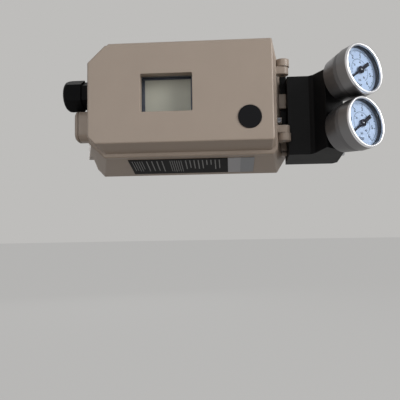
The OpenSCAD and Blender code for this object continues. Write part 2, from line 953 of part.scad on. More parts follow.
module gauge_bracket() color("#202124") {
    difference() {
        union() {
            translate([0, 0, block_low - block_drop]) linear_extrude(block_h + block_drop) block_plan();
            for (ends = [[rib_high + gap, shoulder_top], [shoulder_low, rib_low - gap]])
                translate([0, 0, ends[0]]) linear_extrude(ends[1] - ends[0]) shoulder_plan();
        }
        below_block();
        for (z = gauge_zs)
            to_gauge(z) translate([0, 0, -socket_l - past]) cylinder(r = stem_r, h = 2 * socket_l);
        for (z = port_zs) {
            bar_y(port_r, block_rear - port_l, block_rear + past, port_x, z);
            bar_x(duct_r, block_x - past, port_x, duct_y, z);
            bar_x(o_ring_r + seat, block_x - past, block_x + o_ring_t, duct_y, z);
        }
        for (z = bolt_zs)
            bar_x(bolt_r + gap, rim_x, block_end + past, duct_y, z);
    }
}

module port_seals() color("#15304a") {
    for (z = port_zs)
        difference() {
            bar_x(o_ring_r, block_x, block_x + o_ring_t, duct_y, z);
            bar_x(duct_r + gap, block_x - past, block_x + o_ring_t + past, duct_y, z);
        }
}

module bracket_screws() color("#c2c5c9") {
    key_depth = 3;
    for (z = bolt_zs)
        difference() {
            union() {
                bar_x(bolt_r - seat, block_x - bolt_reach, block_end + merge, duct_y, z);
                bar_x(bolt_head_r, block_end, block_end + bolt_head_h, duct_y, z);
            }
            translate([block_end + bolt_head_h - key_depth, duct_y, z])
                rotate([0, 90, 0]) cylinder(r = bolt_key_r, h = key_depth + past, $fn = 6);
        }
}

// gauges

// case that narrows to the rear, open at the front
module gauge_case() {
    taper_end = stem_l + case_taper;
    rotate_extrude()
        difference() {
            polygon([
                [0, stem_l], [case_rear_r, stem_l], [case_r, taper_end],
                [case_r, case_front], [0, case_front]]);
            polygon([
                [-past, floor_at], [case_rear_r - case_wall, floor_at], [case_inner_r, taper_end],
                [case_inner_r, gauge_top], [-past, gauge_top]]);
            translate([-past, 0]) square([stem_r + past, gauge_length]);
        }
}

// bezel with a round bright lip over the lens
module gauge_bezel() {
    lip_r = lip_w / 2;
    rotate_extrude() {
        translate([case_r + seat, gauge_top - bezel_l]) square([gauge_r - case_r - seat, bezel_l - lip_r]);
        translate([gauge_r - lip_w, gauge_top - lip_h]) square([lip_w, lip_h - lip_r]);
        translate([gauge_r - lip_r, gauge_top - lip_r]) circle(lip_r);
    }
}

module gauge_lens() {
    translate([0, 0, case_front]) cylinder(r = case_inner_r + lens_border, h = lens_t);
}

module gauge_dial() {
    translate([0, 0, dial_at])
        difference() {
            cylinder(r = case_inner_r - seat, h = dial_t);
            translate([0, 0, -past]) cylinder(r = arbor_r + fit, h = dial_t + 2 * past);
        }
}

// toothed rim: thin teeth on a round root, a number of them from a first angle
module teeth(pitch_r, count, step, first) {
    for (i = [0:count - 1])
        rotate(first + i * step)
            translate([pitch_r - tooth_h - gap, -tooth_w / 2]) square([2 * tooth_h + gap, tooth_w]);
}

// tapered arm from the hub: half widths at the hub, at a bend and at its end
module pointer_arm(length, bend, at_hub, at_bend, at_end) {
    polygon([[0, -at_hub], [bend, -at_bend], [length, -at_end],
        [length, at_end], [bend, at_bend], [0, at_hub]]);
}

// pointer with a counterweight tail, on an arbor with its pinion
module gauge_pointer() {
    arbor_from = stem_l + 2.2;
    translate([0, 0, pointer_at])
        linear_extrude(pointer_t) {
            circle(hub_r);
            rotate(pointer_zero) pointer_arm(tip_l, 0.6 * tip_l, 1.3, 0.7, 0.5);
            rotate(pointer_zero + 180) pointer_arm(tail_l, 0.6 * tail_l, 1.3, 1.4, 1.5);
        }
    translate([0, 0, arbor_from]) cylinder(r = arbor_r, h = pointer_at + pointer_t / 2 - arbor_from);
    translate([0, 0, sector_at - pinion_t / 2])
        linear_extrude(pinion_t) {
            circle(tooth_pitch_r - tooth_h - root_gap);
            teeth(tooth_pitch_r, pinion_teeth, 360 / pinion_teeth, -90);
        }
}

// spring tube bent to a circle on its socket, with the bridge that carries the movement
module gauge_tube() {
    bridge_w = 8;
    bridge_l = 2 * spring_r + 2;
    foot_r = 2.4;
    arm_w = 4;
    open_turn = 250;
    air_r = 1.5;
    difference() {
        union() {
            translate([0, 0, -socket_l]) cylinder(r = stem_r - seat, h = socket_l + floor_at + bridge_t);
            translate([-bridge_l / 2, -bridge_w / 2, floor_at]) cube([bridge_l, bridge_w, bridge_t]);
            translate([-arm_w / 2, -sector_pivot, floor_at]) cube([arm_w, sector_pivot, bridge_t]);
            translate([0, -sector_pivot, floor_at]) {
                cylinder(r = foot_r, h = bridge_t);
                cylinder(r = sector_pin_r, h = sector_at + sector_t - floor_at);
            }
            translate([0, 0, spring_at])
                rotate_extrude(angle = open_turn) translate([spring_r, 0]) circle(spring_tube_r);
            translate([spring_r, 0, floor_at]) cylinder(r = foot_r - gap, h = spring_at - floor_at + past);
        }
        translate([0, 0, -socket_l - past]) cylinder(r = air_r, h = socket_l + floor_at + past);
        translate([0, 0, stem_l + 2]) cylinder(r = arbor_r + fit, h = gauge_length);
    }
}

// toothed sector; at rest the gap under the first stroke of the pointer faces the pinion
module gauge_sector() {
    step = 360 / pinion_teeth / sector_ratio;
    last = 90 + 1.5 * step;
    first = last - (sector_teeth - 1) * step;
    side = 3;
    reach = 2 * sector_pitch_r;
    rays = [first - side, (first + last) / 2, last + side];
    translate([0, -sector_pivot, sector_at - sector_t / 2])
        linear_extrude(sector_t)
            difference() {
                union() {
                    circle(sector_boss_r);
                    intersection() {
                        circle(sector_pitch_r - tooth_h - root_gap);
                        polygon(concat([[0, 0]], [for (a = rays) reach * [cos(a), sin(a)]]));
                    }
                    teeth(sector_pitch_r, sector_teeth, step, first);
                }
                circle(sector_pin_r + fit);
            }
}

upper_z = gauge_zs[0];
lower_z = gauge_zs[1];
module upper_case() color("#b8bbbf") to_gauge(upper_z) gauge_case();
module upper_bezel() color("#d6d8db") to_gauge(upper_z) gauge_bezel();
module upper_lens() color("#cfe0ea80") to_gauge(upper_z) gauge_lens();
module upper_dial() color("#f2f2ee") to_gauge(upper_z) gauge_dial();
module upper_pointer() color("#111111") to_gauge(upper_z) gauge_pointer();
module upper_tube() color("#b08d4c") to_gauge(upper_z) gauge_tube();
module upper_sector() color("#c8a24a") to_gauge(upper_z) gauge_sector();
module lower_case() color("#b8bbbf") to_gauge(lower_z) gauge_case();
module lower_bezel() color("#d6d8db") to_gauge(lower_z) gauge_bezel();
module lower_lens() color("#cfe0ea80") to_gauge(lower_z) gauge_lens();
module lower_dial() color("#f2f2ee") to_gauge(lower_z) gauge_dial();
module lower_pointer() color("#111111") to_gauge(lower_z) gauge_pointer();
module lower_tube() color("#b08d4c") to_gauge(lower_z) gauge_tube();
module lower_sector() color("#c8a24a") to_gauge(lower_z) gauge_sector();

// hinged cover

module cover_body() {
    edge_step = 0.3 * soft_edge;
    hull() {
        layer_at(0) front_outline(soft_edge);
        layer_at(edge_step) front_outline(edge_step);
        layer_at(soft_edge) front_outline();
        layer_at(skirt_depth) skirt_outline();
    }
    hull() {
        layer_at(skirt_depth) rim_outline(past);
        layer_at(skirt_depth + past) rim_outline();
        layer_at(cover_depth - gap - layer) rim_outline();
    }
}

module cover_cavity() {
    hull() {
        layer_at(cover_wall) front_outline(cover_wall + merge);
        layer_at(skirt_depth) skirt_outline(cover_wall);
        layer_at(cover_depth + past) skirt_outline(cover_wall);
    }
}

module cover_knuckle(z) {
    translate([hinge_x, hinge_y, z]) cylinder(r = hinge_r, h = knuckle_h);
    block([rim_x - 2, hinge_y - hinge_r, z], [hinge_x, hinge_y - gap, z + knuckle_h]);
}

// places of the retainer's screws, outside the corners of the pane
module at_retainer_screws() {
    at_corners(pane_w / 2 + well_wall, pane_h / 2 + well_wall, window_x, window_z) children();
}

pane_rear = at_depth(window_well + seal_t + pane_t);

module cover_shell() color("#b3a793") {
    inside = at_depth(1);
    difference() {
        union() {
            difference() {
                cover_body();
                cover_cavity();
            }
            slab(inside, pane_rear - inside)
                soft_square(pane_w + 2 * well_wall, pane_h + 2 * well_wall, pane_round, window_x, window_z);
            at_retainer_screws() bar_y(well_wall, inside, pane_rear);
            for (z = both_ends(knuckle_inner))
                cover_knuckle(z);
            bar_x(lock_boss_r, -skirt_x + cover_wall / 2, lock_inner_x - 2 * gap, lock_axis_y, lock_z);
        }
        slab(at_depth(-past), window_well + 2 * past)
            soft_square(window_w, window_h, window_round, window_x, window_z);
        slab(at_depth(window_well), seal_t + pane_t + past)
            soft_square(pane_w, pane_h, pane_round + seat, window_x, window_z);
        at_retainer_screws() bar_y(retainer_screw_r, at_depth(window_well - 2), pane_rear + past);
        bar_y(badge_d / 2 + seat, at_depth(-past), at_depth(badge_sunk), badge_x, badge_z);
        for (z = both_ends(knuckle_inner))
            translate([hinge_x, hinge_y, z - past]) cylinder(r = pin_r + fit, h = knuckle_h + 2 * past);
        bar_x(lock_r + fit, -rim_x - past, lock_inner_x + past, lock_axis_y, lock_z);
    }
}

// outline of the pane and its seal in the well
module pane_outline() {
    soft_square(pane_w - 2 * seat, pane_h - 2 * seat, pane_round, window_x, window_z);
}

module window_seal() color("#202020") {
    slab(at_depth(window_well), seal_t)
        difference() {
            pane_outline();
            soft_square(window_w, window_h, window_round, window_x, window_z);
        }
}

module window_glass() color("#cfe0ea80") {
    slab(at_depth(window_well + seal_t), pane_t) pane_outline();
}

module window_retainer() color("#aeb1b5") {
    difference() {
        slab(pane_rear, retainer_t)
            difference() {
                soft_square(pane_w + 2 * retainer_border, pane_h + 2 * retainer_border, well_wall,
                    window_x, window_z);
                soft_square(window_w + 1, window_h + 1, window_round, window_x, window_z);
            }
        at_retainer_screws()
            bar_y(retainer_screw_r + gap, pane_rear - past, pane_rear + retainer_t + past);
    }
}

// screws of the retainer, heads toward the inside of the cover
module retainer_screws() color("#c9ccd0") {
    head_r = 1.9;
    head_h = 0.7;
    shank_l = 5;
    at_retainer_screws()
        translate([0, pane_rear + retainer_t, 0])
            mirror([0, 1, 0]) slot_screw_y(retainer_screw_r, head_r, head_h, shank_l, 0, 0, 0);
}

module badge_disc() color("#141416") {
    bar_y(badge_d / 2, at_depth(badge_sunk - badge_t), at_depth(badge_sunk), badge_x, badge_z);
}

housing_base();
cover_gasket();
rating_plate();
gland_body();
gland_seal();
gland_nut();
hinge_pins();
earth_screw();
operating_panel();
panel_screws();
display_case();
display_glass();
rotary_encoder();
encoder_shaft();
rotary_knob();
init_button();
mode_switch();
restrictor();
terminal_block();
terminal_screws();
circuit_board();
manifold_plate();
ip_converter();
booster_relay();
pressure_regulator();
lock_keeper();
shaft_bush();
travel_shaft();
travel_lever();
lever_nut();
follower_pin();
follower_nut();
gauge_bracket();
port_seals();
bracket_screws();
cover_shell();
window_seal();
window_glass();
window_retainer();
retainer_screws();
badge_disc();
cover_lock();
upper_case();
upper_bezel();
upper_lens();
upper_dial();
upper_pointer();
upper_tube();
upper_sector();
lower_case();
lower_bezel();
lower_lens();
lower_dial();
lower_pointer();
lower_tube();
lower_sector();
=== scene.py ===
"""Looks of a valve positioner: finishes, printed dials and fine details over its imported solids."""

import logging
import math
from dataclasses import dataclass, replace
from enum import Enum
from typing import Sequence, Union

import bpy
from mathutils import Matrix, Vector


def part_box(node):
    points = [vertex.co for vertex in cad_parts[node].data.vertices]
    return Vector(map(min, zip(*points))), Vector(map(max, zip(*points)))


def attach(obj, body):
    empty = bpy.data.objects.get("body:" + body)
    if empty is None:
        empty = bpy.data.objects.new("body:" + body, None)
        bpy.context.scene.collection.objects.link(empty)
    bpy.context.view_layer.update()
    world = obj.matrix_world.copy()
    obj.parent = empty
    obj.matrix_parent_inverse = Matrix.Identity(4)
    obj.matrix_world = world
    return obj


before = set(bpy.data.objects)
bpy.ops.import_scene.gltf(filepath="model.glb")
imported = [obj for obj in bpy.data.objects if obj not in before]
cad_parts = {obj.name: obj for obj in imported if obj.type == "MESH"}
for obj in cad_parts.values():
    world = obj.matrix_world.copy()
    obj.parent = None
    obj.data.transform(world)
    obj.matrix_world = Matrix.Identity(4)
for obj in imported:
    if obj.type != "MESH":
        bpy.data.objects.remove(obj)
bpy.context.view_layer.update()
LOG = logging.getLogger("positioner")
MM = 0.001

Rgb = tuple[float, float, float]
Socket = bpy.types.NodeSocket
Value = Union[float, Socket]


def screen(red: int, green: int, blue: int) -> Rgb:
    """Turns a screen colour into the linear colour that a shader takes.

    Args:
        red: red part, 0 to 255.
        green: green part, 0 to 255.
        blue: blue part, 0 to 255.

    Returns:
        The linear colour.
    """
    straight_end, slope, shift, power = 0.04045, 12.92, 0.055, 2.4
    parts = [part / 255 for part in (red, green, blue)]
    return tuple(part / slope if part < straight_end else ((part + shift) / (1 + shift)) ** power
                 for part in parts)


class Coordinate(Enum):
    """Axis of the shared frame that a pattern reads."""

    X = "X"
    Z = "Z"


class Relief(Enum):
    """Kind of fine relief that a finish has, with the stretch of its grain along X, Y and Z."""

    CAST = (1.0, 1.0, 1.0)
    BRUSHED = (0.06, 1.0, 1.0)
    TURNED = (1.0, 1.0, 0.08)


class Tree:
    """A node tree that is being filled."""

    # Places of the colour sockets on a Mix node, which has others of the same names
    MIX_FIRST = 6
    MIX_SECOND = 7
    MIX_RESULT = 2

    def __init__(self, nodes: bpy.types.NodeTree) -> None:
        """Keeps the tree to fill."""
        self.tree = nodes

    def add(self, kind: str, **settings: object) -> bpy.types.Node:
        """Adds a node.

        Args:
            kind: Blender's name of the node type.
            settings: properties of the node and their values.

        Returns:
            The new node.
        """
        node = self.tree.nodes.new(kind)
        for name, value in settings.items():
            setattr(node, name, value)
        return node

    def feed(self, socket: Socket, value: object) -> None:
        """Links a socket to an input, or sets the input to a plain value.

        Args:
            socket: the input.
            value: an output socket, or the value to set.
        """
        if isinstance(value, bpy.types.NodeSocket):
            self.tree.links.new(value, socket)
        else:
            socket.default_value = value

    def fill(self, node: bpy.types.Node, **values: object) -> bpy.types.NodeOutputs:
        """Feeds a node's inputs by name.

        Args:
            node: the node.
            values: sockets or plain values, by the input's name with underscores.

        Returns:
            The node's outputs.
        """
        for label, value in values.items():
            self.feed(node.inputs[label.replace("_", " ")], value)
        return node.outputs

    def chain(self, kind: str, *values: object, **settings: object) -> Socket:
        """Adds a node and feeds its inputs in order.

        Args:
            kind: Blender's name of the node type.
            values: sockets or plain values for its first inputs.
            settings: properties of the node and their values.

        Returns:
            The node's first output.
        """
        node = self.add(kind, **settings)
        for socket, value in zip(node.inputs, values):
            self.feed(socket, value)
        return node.outputs[0]

    def maths(self, operation: str, *values: Value) -> Socket:
        """Returns the result of a Math node, from Blender's name of the operation and its inputs."""
        return self.chain("ShaderNodeMath", *values, operation=operation)

    def vector(self, *parts: Value) -> Socket:
        """Returns a vector of parts along X, Y and Z, where a missing one is 0."""
        return self.chain("ShaderNodeCombineXYZ", *parts)

    def dot(self, first: Socket, second: object) -> Socket:
        """Returns the dot product of two vectors."""
        product = self.chain("ShaderNodeVectorMath", first, second, operation="DOT_PRODUCT")
        return product.node.outputs["Value"]

    def split(self, vector: Socket, axis: Coordinate) -> Socket:
        """Returns the part of a vector along one axis."""
        return self.chain("ShaderNodeSeparateXYZ", vector).node.outputs[axis.value]

    def shaders(self, factor: Value, first: Socket, second: Socket) -> Socket:
        """Returns a mix of two shaders, in which the factor is the share of the second."""
        return self.chain("ShaderNodeMixShader", factor, first, second)

    def blend(self, factor: Value, first: object, second: object, kind: str = "MIX") -> Socket:
        """Adds a node that mixes two colours.

        Args:
            factor: share of the second colour.
            first: first colour, as a socket or four numbers.
            second: second colour, as a socket or four numbers.
            kind: Blender's name of the blend.

        Returns:
            The mixed colour's socket.
        """
        node = self.add("ShaderNodeMix", data_type="RGBA", blend_type=kind)
        self.feed(node.inputs[0], factor)
        self.feed(node.inputs[self.MIX_FIRST], first)
        self.feed(node.inputs[self.MIX_SECOND], second)
        return node.outputs[self.MIX_RESULT]

    def noise(self, vector: Socket, scale: Value, layers: float) -> Socket:
        """Returns a noise of about 0.5 on average, from its waves for each metre and its finer layers."""
        node = self.add("ShaderNodeTexNoise")
        return self.fill(node, Vector=vector, Scale=scale, Detail=layers)["Fac"]

    def ramp(self, value: Value, low: float, high: float) -> Socket:
        """Returns a smooth step from 0 at the low value to 1 at the high value."""
        node = self.add("ShaderNodeMapRange", interpolation_type="SMOOTHSTEP")
        return self.fill(node, Value=value, From_Min=low, From_Max=high)["Result"]

    def place(self) -> Socket:
        """Returns the object coordinates."""
        return self.add("ShaderNodeTexCoord").outputs["Object"]

    def along(self, axis: Coordinate) -> Socket:
        """Returns the object coordinate along one axis."""
        return self.split(self.place(), axis)

    def surface(self, shader: Socket) -> None:
        """Ends a material's tree with its shader."""
        self.fill(self.add("ShaderNodeOutputMaterial"), Surface=shader)


def empty_tree(owner: Union[bpy.types.Material, bpy.types.World]) -> Tree:
    """Clears the nodes of a new material or world.

    Args:
        owner: the material or the world.

    Returns:
        Its empty tree.
    """
    owner.use_nodes = True
    owner.node_tree.nodes.clear()
    return Tree(owner.node_tree)


def rgba(colour: Rgb) -> tuple[float, float, float, float]:
    """Adds full cover to a colour."""
    return (*colour, 1.0)


@dataclass(frozen=True)
class GaugeAxis:
    """Axis of a gauge, which leaves its socket in the connecting block to the right and upwards.

    Attributes:
        height: place of the socket along Z in millimetres.
        socket: place of the socket along X and Y.
        turn: turn to the right of straight ahead, in degrees.
        rise: tilt upwards, in degrees.
    """

    height: float
    socket: tuple[float, float] = (127.0, -50.5)
    turn: float = 36.0
    rise: float = 6.0

    def place(self, distance: float = 0.0) -> Matrix:
        """Gives a plane across the axis.

        Args:
            distance: distance of the plane from the socket, in millimetres.

        Returns:
            The matrix from a sheet in X and Y to the plane.
        """
        spot = Vector((*self.socket, self.height)) * MM
        turned = Matrix.Rotation(math.radians(self.turn), 4, "Z")
        tilted = Matrix.Rotation(math.radians(90.0 - self.rise), 4, "X")
        return Matrix.Translation(spot) @ turned @ tilted @ Matrix.Translation((0, 0, distance * MM))

    def direction(self) -> Vector:
        """Returns the direction from the socket to the dial."""
        return self.place().to_3x3() @ Vector((0, 0, 1))

    def reach(self, distance: float) -> float:
        """Returns how far along the direction a point of the axis lies from the frame's origin."""
        return self.direction().dot(self.place(distance).translation)


UPPER_AXIS = GaugeAxis(9.5)
LOWER_AXIS = GaugeAxis(-32.5)


class NodeGroup:
    """A node group with named inputs and outputs, in the kind of tree that its subclass names."""

    KIND = ""

    def __init__(self, name: str, inputs: dict[str, str], outputs: dict[str, str]) -> None:
        """Makes the empty group.

        Args:
            name: the group's name.
            inputs: socket type of each input by name.
            outputs: socket type of each output by name.
        """
        self.group = bpy.data.node_groups.new(name, self.KIND)
        for side, sockets in (("INPUT", inputs), ("OUTPUT", outputs)):
            for label, kind in sockets.items():
                self.group.interface.new_socket(label, in_out=side, socket_type=kind)
        self.tree = Tree(self.group)
        self.given = self.tree.add("NodeGroupInput").outputs
        self.result = self.tree.add("NodeGroupOutput")


class EffectGroup(NodeGroup):
    """A shader node group that several finishes share."""

    KIND = "ShaderNodeTree"

    def use(self, tree: Tree, **values: object) -> bpy.types.NodeOutputs:
        """Places the group in a tree, feeds its inputs and returns its outputs."""
        return tree.fill(tree.add("ShaderNodeGroup", node_tree=self.group), **values)


FLOAT = "NodeSocketFloat"
COLOUR = "NodeSocketColor"
VECTOR = "NodeSocketVector"
INTEGER = "NodeSocketInt"


def surface_grain() -> EffectGroup:
    """Builds the group of blotches and fine grain that every finish has.

    Returns:
        The group, with a colour, a roughness and a height.
    """
    blotch_layers, grain_layers = 5.0, 2.0
    noise_mean = 0.5
    grain_share = 0.6
    effect = EffectGroup(
        "surface grain",
        {"Colour": COLOUR, "Stretch": VECTOR, "Variation": FLOAT, "Blotches": FLOAT, "Grain": FLOAT,
         "Roughness": FLOAT, "Roughness spread": FLOAT},
        {"Colour": COLOUR, "Roughness": FLOAT, "Height": FLOAT})
    tree, given = effect.tree, effect.given
    stretched = tree.chain("ShaderNodeVectorMath", tree.place(), given["Stretch"], operation="MULTIPLY")
    blotch = tree.noise(tree.place(), given["Blotches"], blotch_layers)
    grain = tree.noise(stretched, given["Grain"], grain_layers)
    fine = tree.maths("MULTIPLY", tree.maths("SUBTRACT", grain, noise_mean), grain_share)
    swing = tree.maths("ADD", tree.maths("SUBTRACT", blotch, noise_mean), fine)
    shade = tree.maths("ADD", 1.0, tree.maths("MULTIPLY", swing, given["Variation"]))
    grey = tree.chain("ShaderNodeCombineColor", shade, shade, shade)
    rough = tree.maths("MULTIPLY", swing, given["Roughness spread"])
    tree.fill(effect.result, Colour=tree.blend(1.0, given["Colour"], grey, "MULTIPLY"),
              Roughness=tree.maths("ADD", given["Roughness"], rough), Height=grain)
    return effect


def edge_wear() -> EffectGroup:
    """Builds the group that softens sharp edges and rubs them lighter.

    Returns:
        The group, with a colour and a rounded normal.
    """
    bevel_samples = 6
    edge_low, edge_high = 0.02, 0.22
    patches, patch_layers = 220.0, 4.0
    patch_low, patch_high = 0.4, 0.65
    effect = EffectGroup(
        "edge wear",
        {"Colour": COLOUR, "Worn colour": COLOUR, "Width": FLOAT, "Amount": FLOAT},
        {"Colour": COLOUR, "Normal": VECTOR})
    tree, given = effect.tree, effect.given
    rounded = tree.chain("ShaderNodeBevel", given["Width"], samples=bevel_samples)
    facing = tree.dot(rounded, tree.add("ShaderNodeNewGeometry").outputs["Normal"])
    edge = tree.ramp(tree.maths("SUBTRACT", 1.0, facing), edge_low, edge_high)
    patch = tree.ramp(tree.noise(tree.place(), patches, patch_layers), patch_low, patch_high)
    mask = tree.maths("MULTIPLY", tree.maths("MULTIPLY", edge, patch), given["Amount"])
    worn = tree.blend(mask, given["Colour"], given["Worn colour"])
    tree.fill(effect.result, Colour=worn, Normal=rounded)
    return effect


def settled_dust() -> EffectGroup:
    """Builds the group of pale dust on what faces up.

    Returns:
        The group, with a colour.
    """
    dust = screen(176, 170, 158)
    slope_low, slope_high = 0.35, 1.0
    clouds, cloud_layers = 130.0, 6.0
    cloud_low, cloud_high = 0.35, 0.8
    effect = EffectGroup("settled dust", {"Colour": COLOUR, "Amount": FLOAT}, {"Colour": COLOUR})
    tree, given = effect.tree, effect.given
    upward = tree.split(tree.add("ShaderNodeNewGeometry").outputs["Normal"], Coordinate.Z)
    cloud = tree.ramp(tree.noise(tree.place(), clouds, cloud_layers), cloud_low, cloud_high)
    lying = tree.maths("MULTIPLY", tree.ramp(upward, slope_low, slope_high), cloud)
    mask = tree.maths("MULTIPLY", lying, given["Amount"])
    tree.fill(effect.result, Colour=tree.blend(mask, given["Colour"], rgba(dust)))
    return effect


GRAIN = surface_grain()
WEAR = edge_wear()
DUST = settled_dust()


@dataclass(frozen=True)
class Finish:
    """A finish of one kind of surface.

    Attributes:
        name: the material's name.
        colour: linear base colour.
        roughness: mean roughness.
        metallic: 1 for bare metal.
        relief: kind of grain.
        variation: how far the colour swings.
        blotches: blotches for each metre.
        grain: grains for each metre.
        spread: how far the roughness swings.
        bump: depth of the grain in millimetres.
        worn: colour of rubbed edges.
        wear: share of the edges that is rubbed.
        edge: width of the softened edges in millimetres.
        dust: share of dust on what faces up.
        coat: weight of a clear coat.
        coat_roughness: roughness of the clear coat.
        specular: strength of the mirror light, 0.5 for common plastics and paints.
    """

    name: str
    colour: Rgb
    roughness: float
    metallic: float = 0.0
    relief: Relief = Relief.CAST
    variation: float = 0.12
    blotches: float = 45.0
    grain: float = 1500.0
    spread: float = 0.12
    bump: float = 0.01
    worn: Rgb = (0.5, 0.5, 0.5)
    wear: float = 0.25
    edge: float = 0.35
    dust: float = 0.2
    coat: float = 0.0
    coat_roughness: float = 0.12
    specular: float = 0.5

    def pattern(self, tree: Tree) -> object:
        """Returns the colour before grain, wear and dust; a plain finish has one colour."""
        return rgba(self.colour)

    def polish(self, tree: Tree) -> Value:
        """Returns the mean roughness; a plain finish has one."""
        return self.roughness

    def grained(self, tree: Tree) -> bpy.types.NodeOutputs:
        """Places the group of grain in a material.

        Args:
            tree: the material's tree.

        Returns:
            The group's outputs.
        """
        return GRAIN.use(tree, Colour=self.pattern(tree), Stretch=self.relief.value,
                         Variation=self.variation, Blotches=self.blotches, Grain=self.grain,
                         Roughness=self.polish(tree), Roughness_spread=self.spread)

    def shader(self, tree: Tree) -> Socket:
        """Builds the shader with grain, wear and dust.

        Args:
            tree: the material's tree.

        Returns:
            The shader's socket.
        """
        grain = self.grained(tree)
        wear = WEAR.use(tree, Colour=grain["Colour"], Worn_colour=rgba(self.worn),
                        Width=self.edge * MM, Amount=self.wear)
        dust = DUST.use(tree, Colour=wear["Colour"], Amount=self.dust)
        bump = tree.fill(tree.add("ShaderNodeBump"), Distance=self.bump * MM, Height=grain["Height"],
                         Normal=wear["Normal"])
        return tree.fill(tree.add("ShaderNodeBsdfPrincipled"), Base_Color=dust["Colour"],
                         Roughness=grain["Roughness"], Normal=bump[0], Metallic=self.metallic,
                         Coat_Weight=self.coat, Coat_Roughness=self.coat_roughness,
                         Specular_IOR_Level=self.specular)[0]

    def material(self) -> bpy.types.Material:
        """Builds the material once.

        Returns:
            The material.
        """
        made = bpy.data.materials.get(self.name)
        if not made:
            made = bpy.data.materials.new(self.name)
            tree = empty_tree(made)
            tree.surface(self.shader(tree))
        return made


@dataclass(frozen=True)
class PlateFinish(Finish):
    """Plate with a dark field, then a bright and a grey field at its right end.

    Attributes:
        bright: colour of the bright field.
        grey: colour of the grey field.
        bright_from: place on X where the bright field begins, in millimetres.
        grey_from: place on X where the grey field begins.
        step: width of the step between two fields.
    """

    bright: Rgb = (0.5, 0.5, 0.5)
    grey: Rgb = (0.3, 0.3, 0.3)
    bright_from: float = 37.6
    grey_from: float = 48.5
    step: float = 0.1

    def pattern(self, tree: Tree) -> object:
        """Paints the three fields, split along X.

        Args:
            tree: the material's tree.

        Returns:
            The colour's socket.
        """
        colour = rgba(self.colour)
        for field, start in ((self.bright, self.bright_from), (self.grey, self.grey_from)):
            side = tree.ramp(tree.along(Coordinate.X), (start - self.step) * MM, start * MM)
            colour = tree.blend(side, colour, rgba(field))
        return colour


@dataclass(frozen=True)
class GaugeMetal(Finish):
    """Metal of a gauge whose front part has another colour and polish.

    Attributes:
        front: colour of the front part.
        front_roughness: roughness of the front part.
        axis: axis of the gauge.
        front_from: distance of the front part from the gauge's socket, in millimetres.
        step: width of the step to the front part.
    """

    front: Rgb = (0.8, 0.8, 0.8)
    front_roughness: float = 0.3
    axis: GaugeAxis = UPPER_AXIS
    front_from: float = 28.9
    step: float = 0.2

    def in_front(self, tree: Tree) -> Socket:
        """Returns a mask that is 1 on the front part."""
        start = self.axis.reach(self.front_from)
        return tree.ramp(tree.dot(tree.place(), self.axis.direction()), start - self.step * MM, start)

    def pattern(self, tree: Tree) -> object:
        """Returns the colours of both parts."""
        return tree.blend(self.in_front(tree), rgba(self.colour), rgba(self.front))

    def polish(self, tree: Tree) -> Value:
        """Returns the roughness of both parts."""
        gain = tree.maths("MULTIPLY", self.in_front(tree), self.front_roughness - self.roughness)
        return tree.maths("ADD", gain, self.roughness)


@dataclass(frozen=True)
class ScreenFinish(Finish):
    """Blank liquid crystal screen with a faint grid of picture points and a dark border.

    Attributes:
        pitch: distance between picture points in millimetres.
        line: width over which a line of the grid fades.
        shade: share of the field's light that a picture point keeps.
        field: width and height of the blank field.
        border: colour of the border around the field.
        step: width of the step to the border.
    """

    pitch: float = 0.6
    line: float = 0.09
    shade: float = 0.86
    field: tuple[float, float] = (38.0, 28.3)
    border: Rgb = screen(86, 90, 99)
    step: float = 0.1

    def pattern(self, tree: Tree) -> object:
        """Paints the field with the grid in it, and the border around it.

        Args:
            tree: the material's tree.

        Returns:
            The colour's socket.
        """
        across, up = (tree.ramp(tree.maths("PINGPONG", tree.along(axis), self.pitch * MM / 2),
                                0.0, self.line * MM)
                      for axis in (Coordinate.X, Coordinate.Z))
        point = tuple(part * self.shade for part in self.colour)
        colour = tree.blend(tree.maths("MULTIPLY", across, up), rgba(self.colour), rgba(point))
        low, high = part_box("display_glass")
        for axis, index, size in ((Coordinate.X, 0, self.field[0]), (Coordinate.Z, 2, self.field[1])):
            middle = (low[index] + high[index]) / 2
            away = tree.maths("ABSOLUTE", tree.maths("SUBTRACT", tree.along(axis), middle))
            outside = tree.ramp(away, (size / 2 - self.step) * MM, size / 2 * MM)
            colour = tree.blend(outside, colour, rgba(self.border))
        return colour


@dataclass(frozen=True)
class GlassFinish(Finish):
    """Clear pane or lens, which lets lamps and room light straight through to what is behind it.

    Attributes:
        ior: index of refraction, low because the pane is thin.
    """

    ior: float = 1.15

    def shader(self, tree: Tree) -> Socket:
        """Builds the glass with smears and without wear and dust.

        Args:
            tree: the material's tree.

        Returns:
            The shader's socket.
        """
        smear = self.grained(tree)
        glass = tree.fill(tree.add("ShaderNodeBsdfPrincipled"), Transmission_Weight=1.0, IOR=self.ior,
                          Base_Color=smear["Colour"], Roughness=smear["Roughness"])
        path = tree.add("ShaderNodeLightPath").outputs
        light = tree.maths("MAXIMUM", path["Is Shadow Ray"], path["Is Diffuse Ray"])
        return tree.shaders(light, glass[0], tree.chain("ShaderNodeBsdfTransparent"))


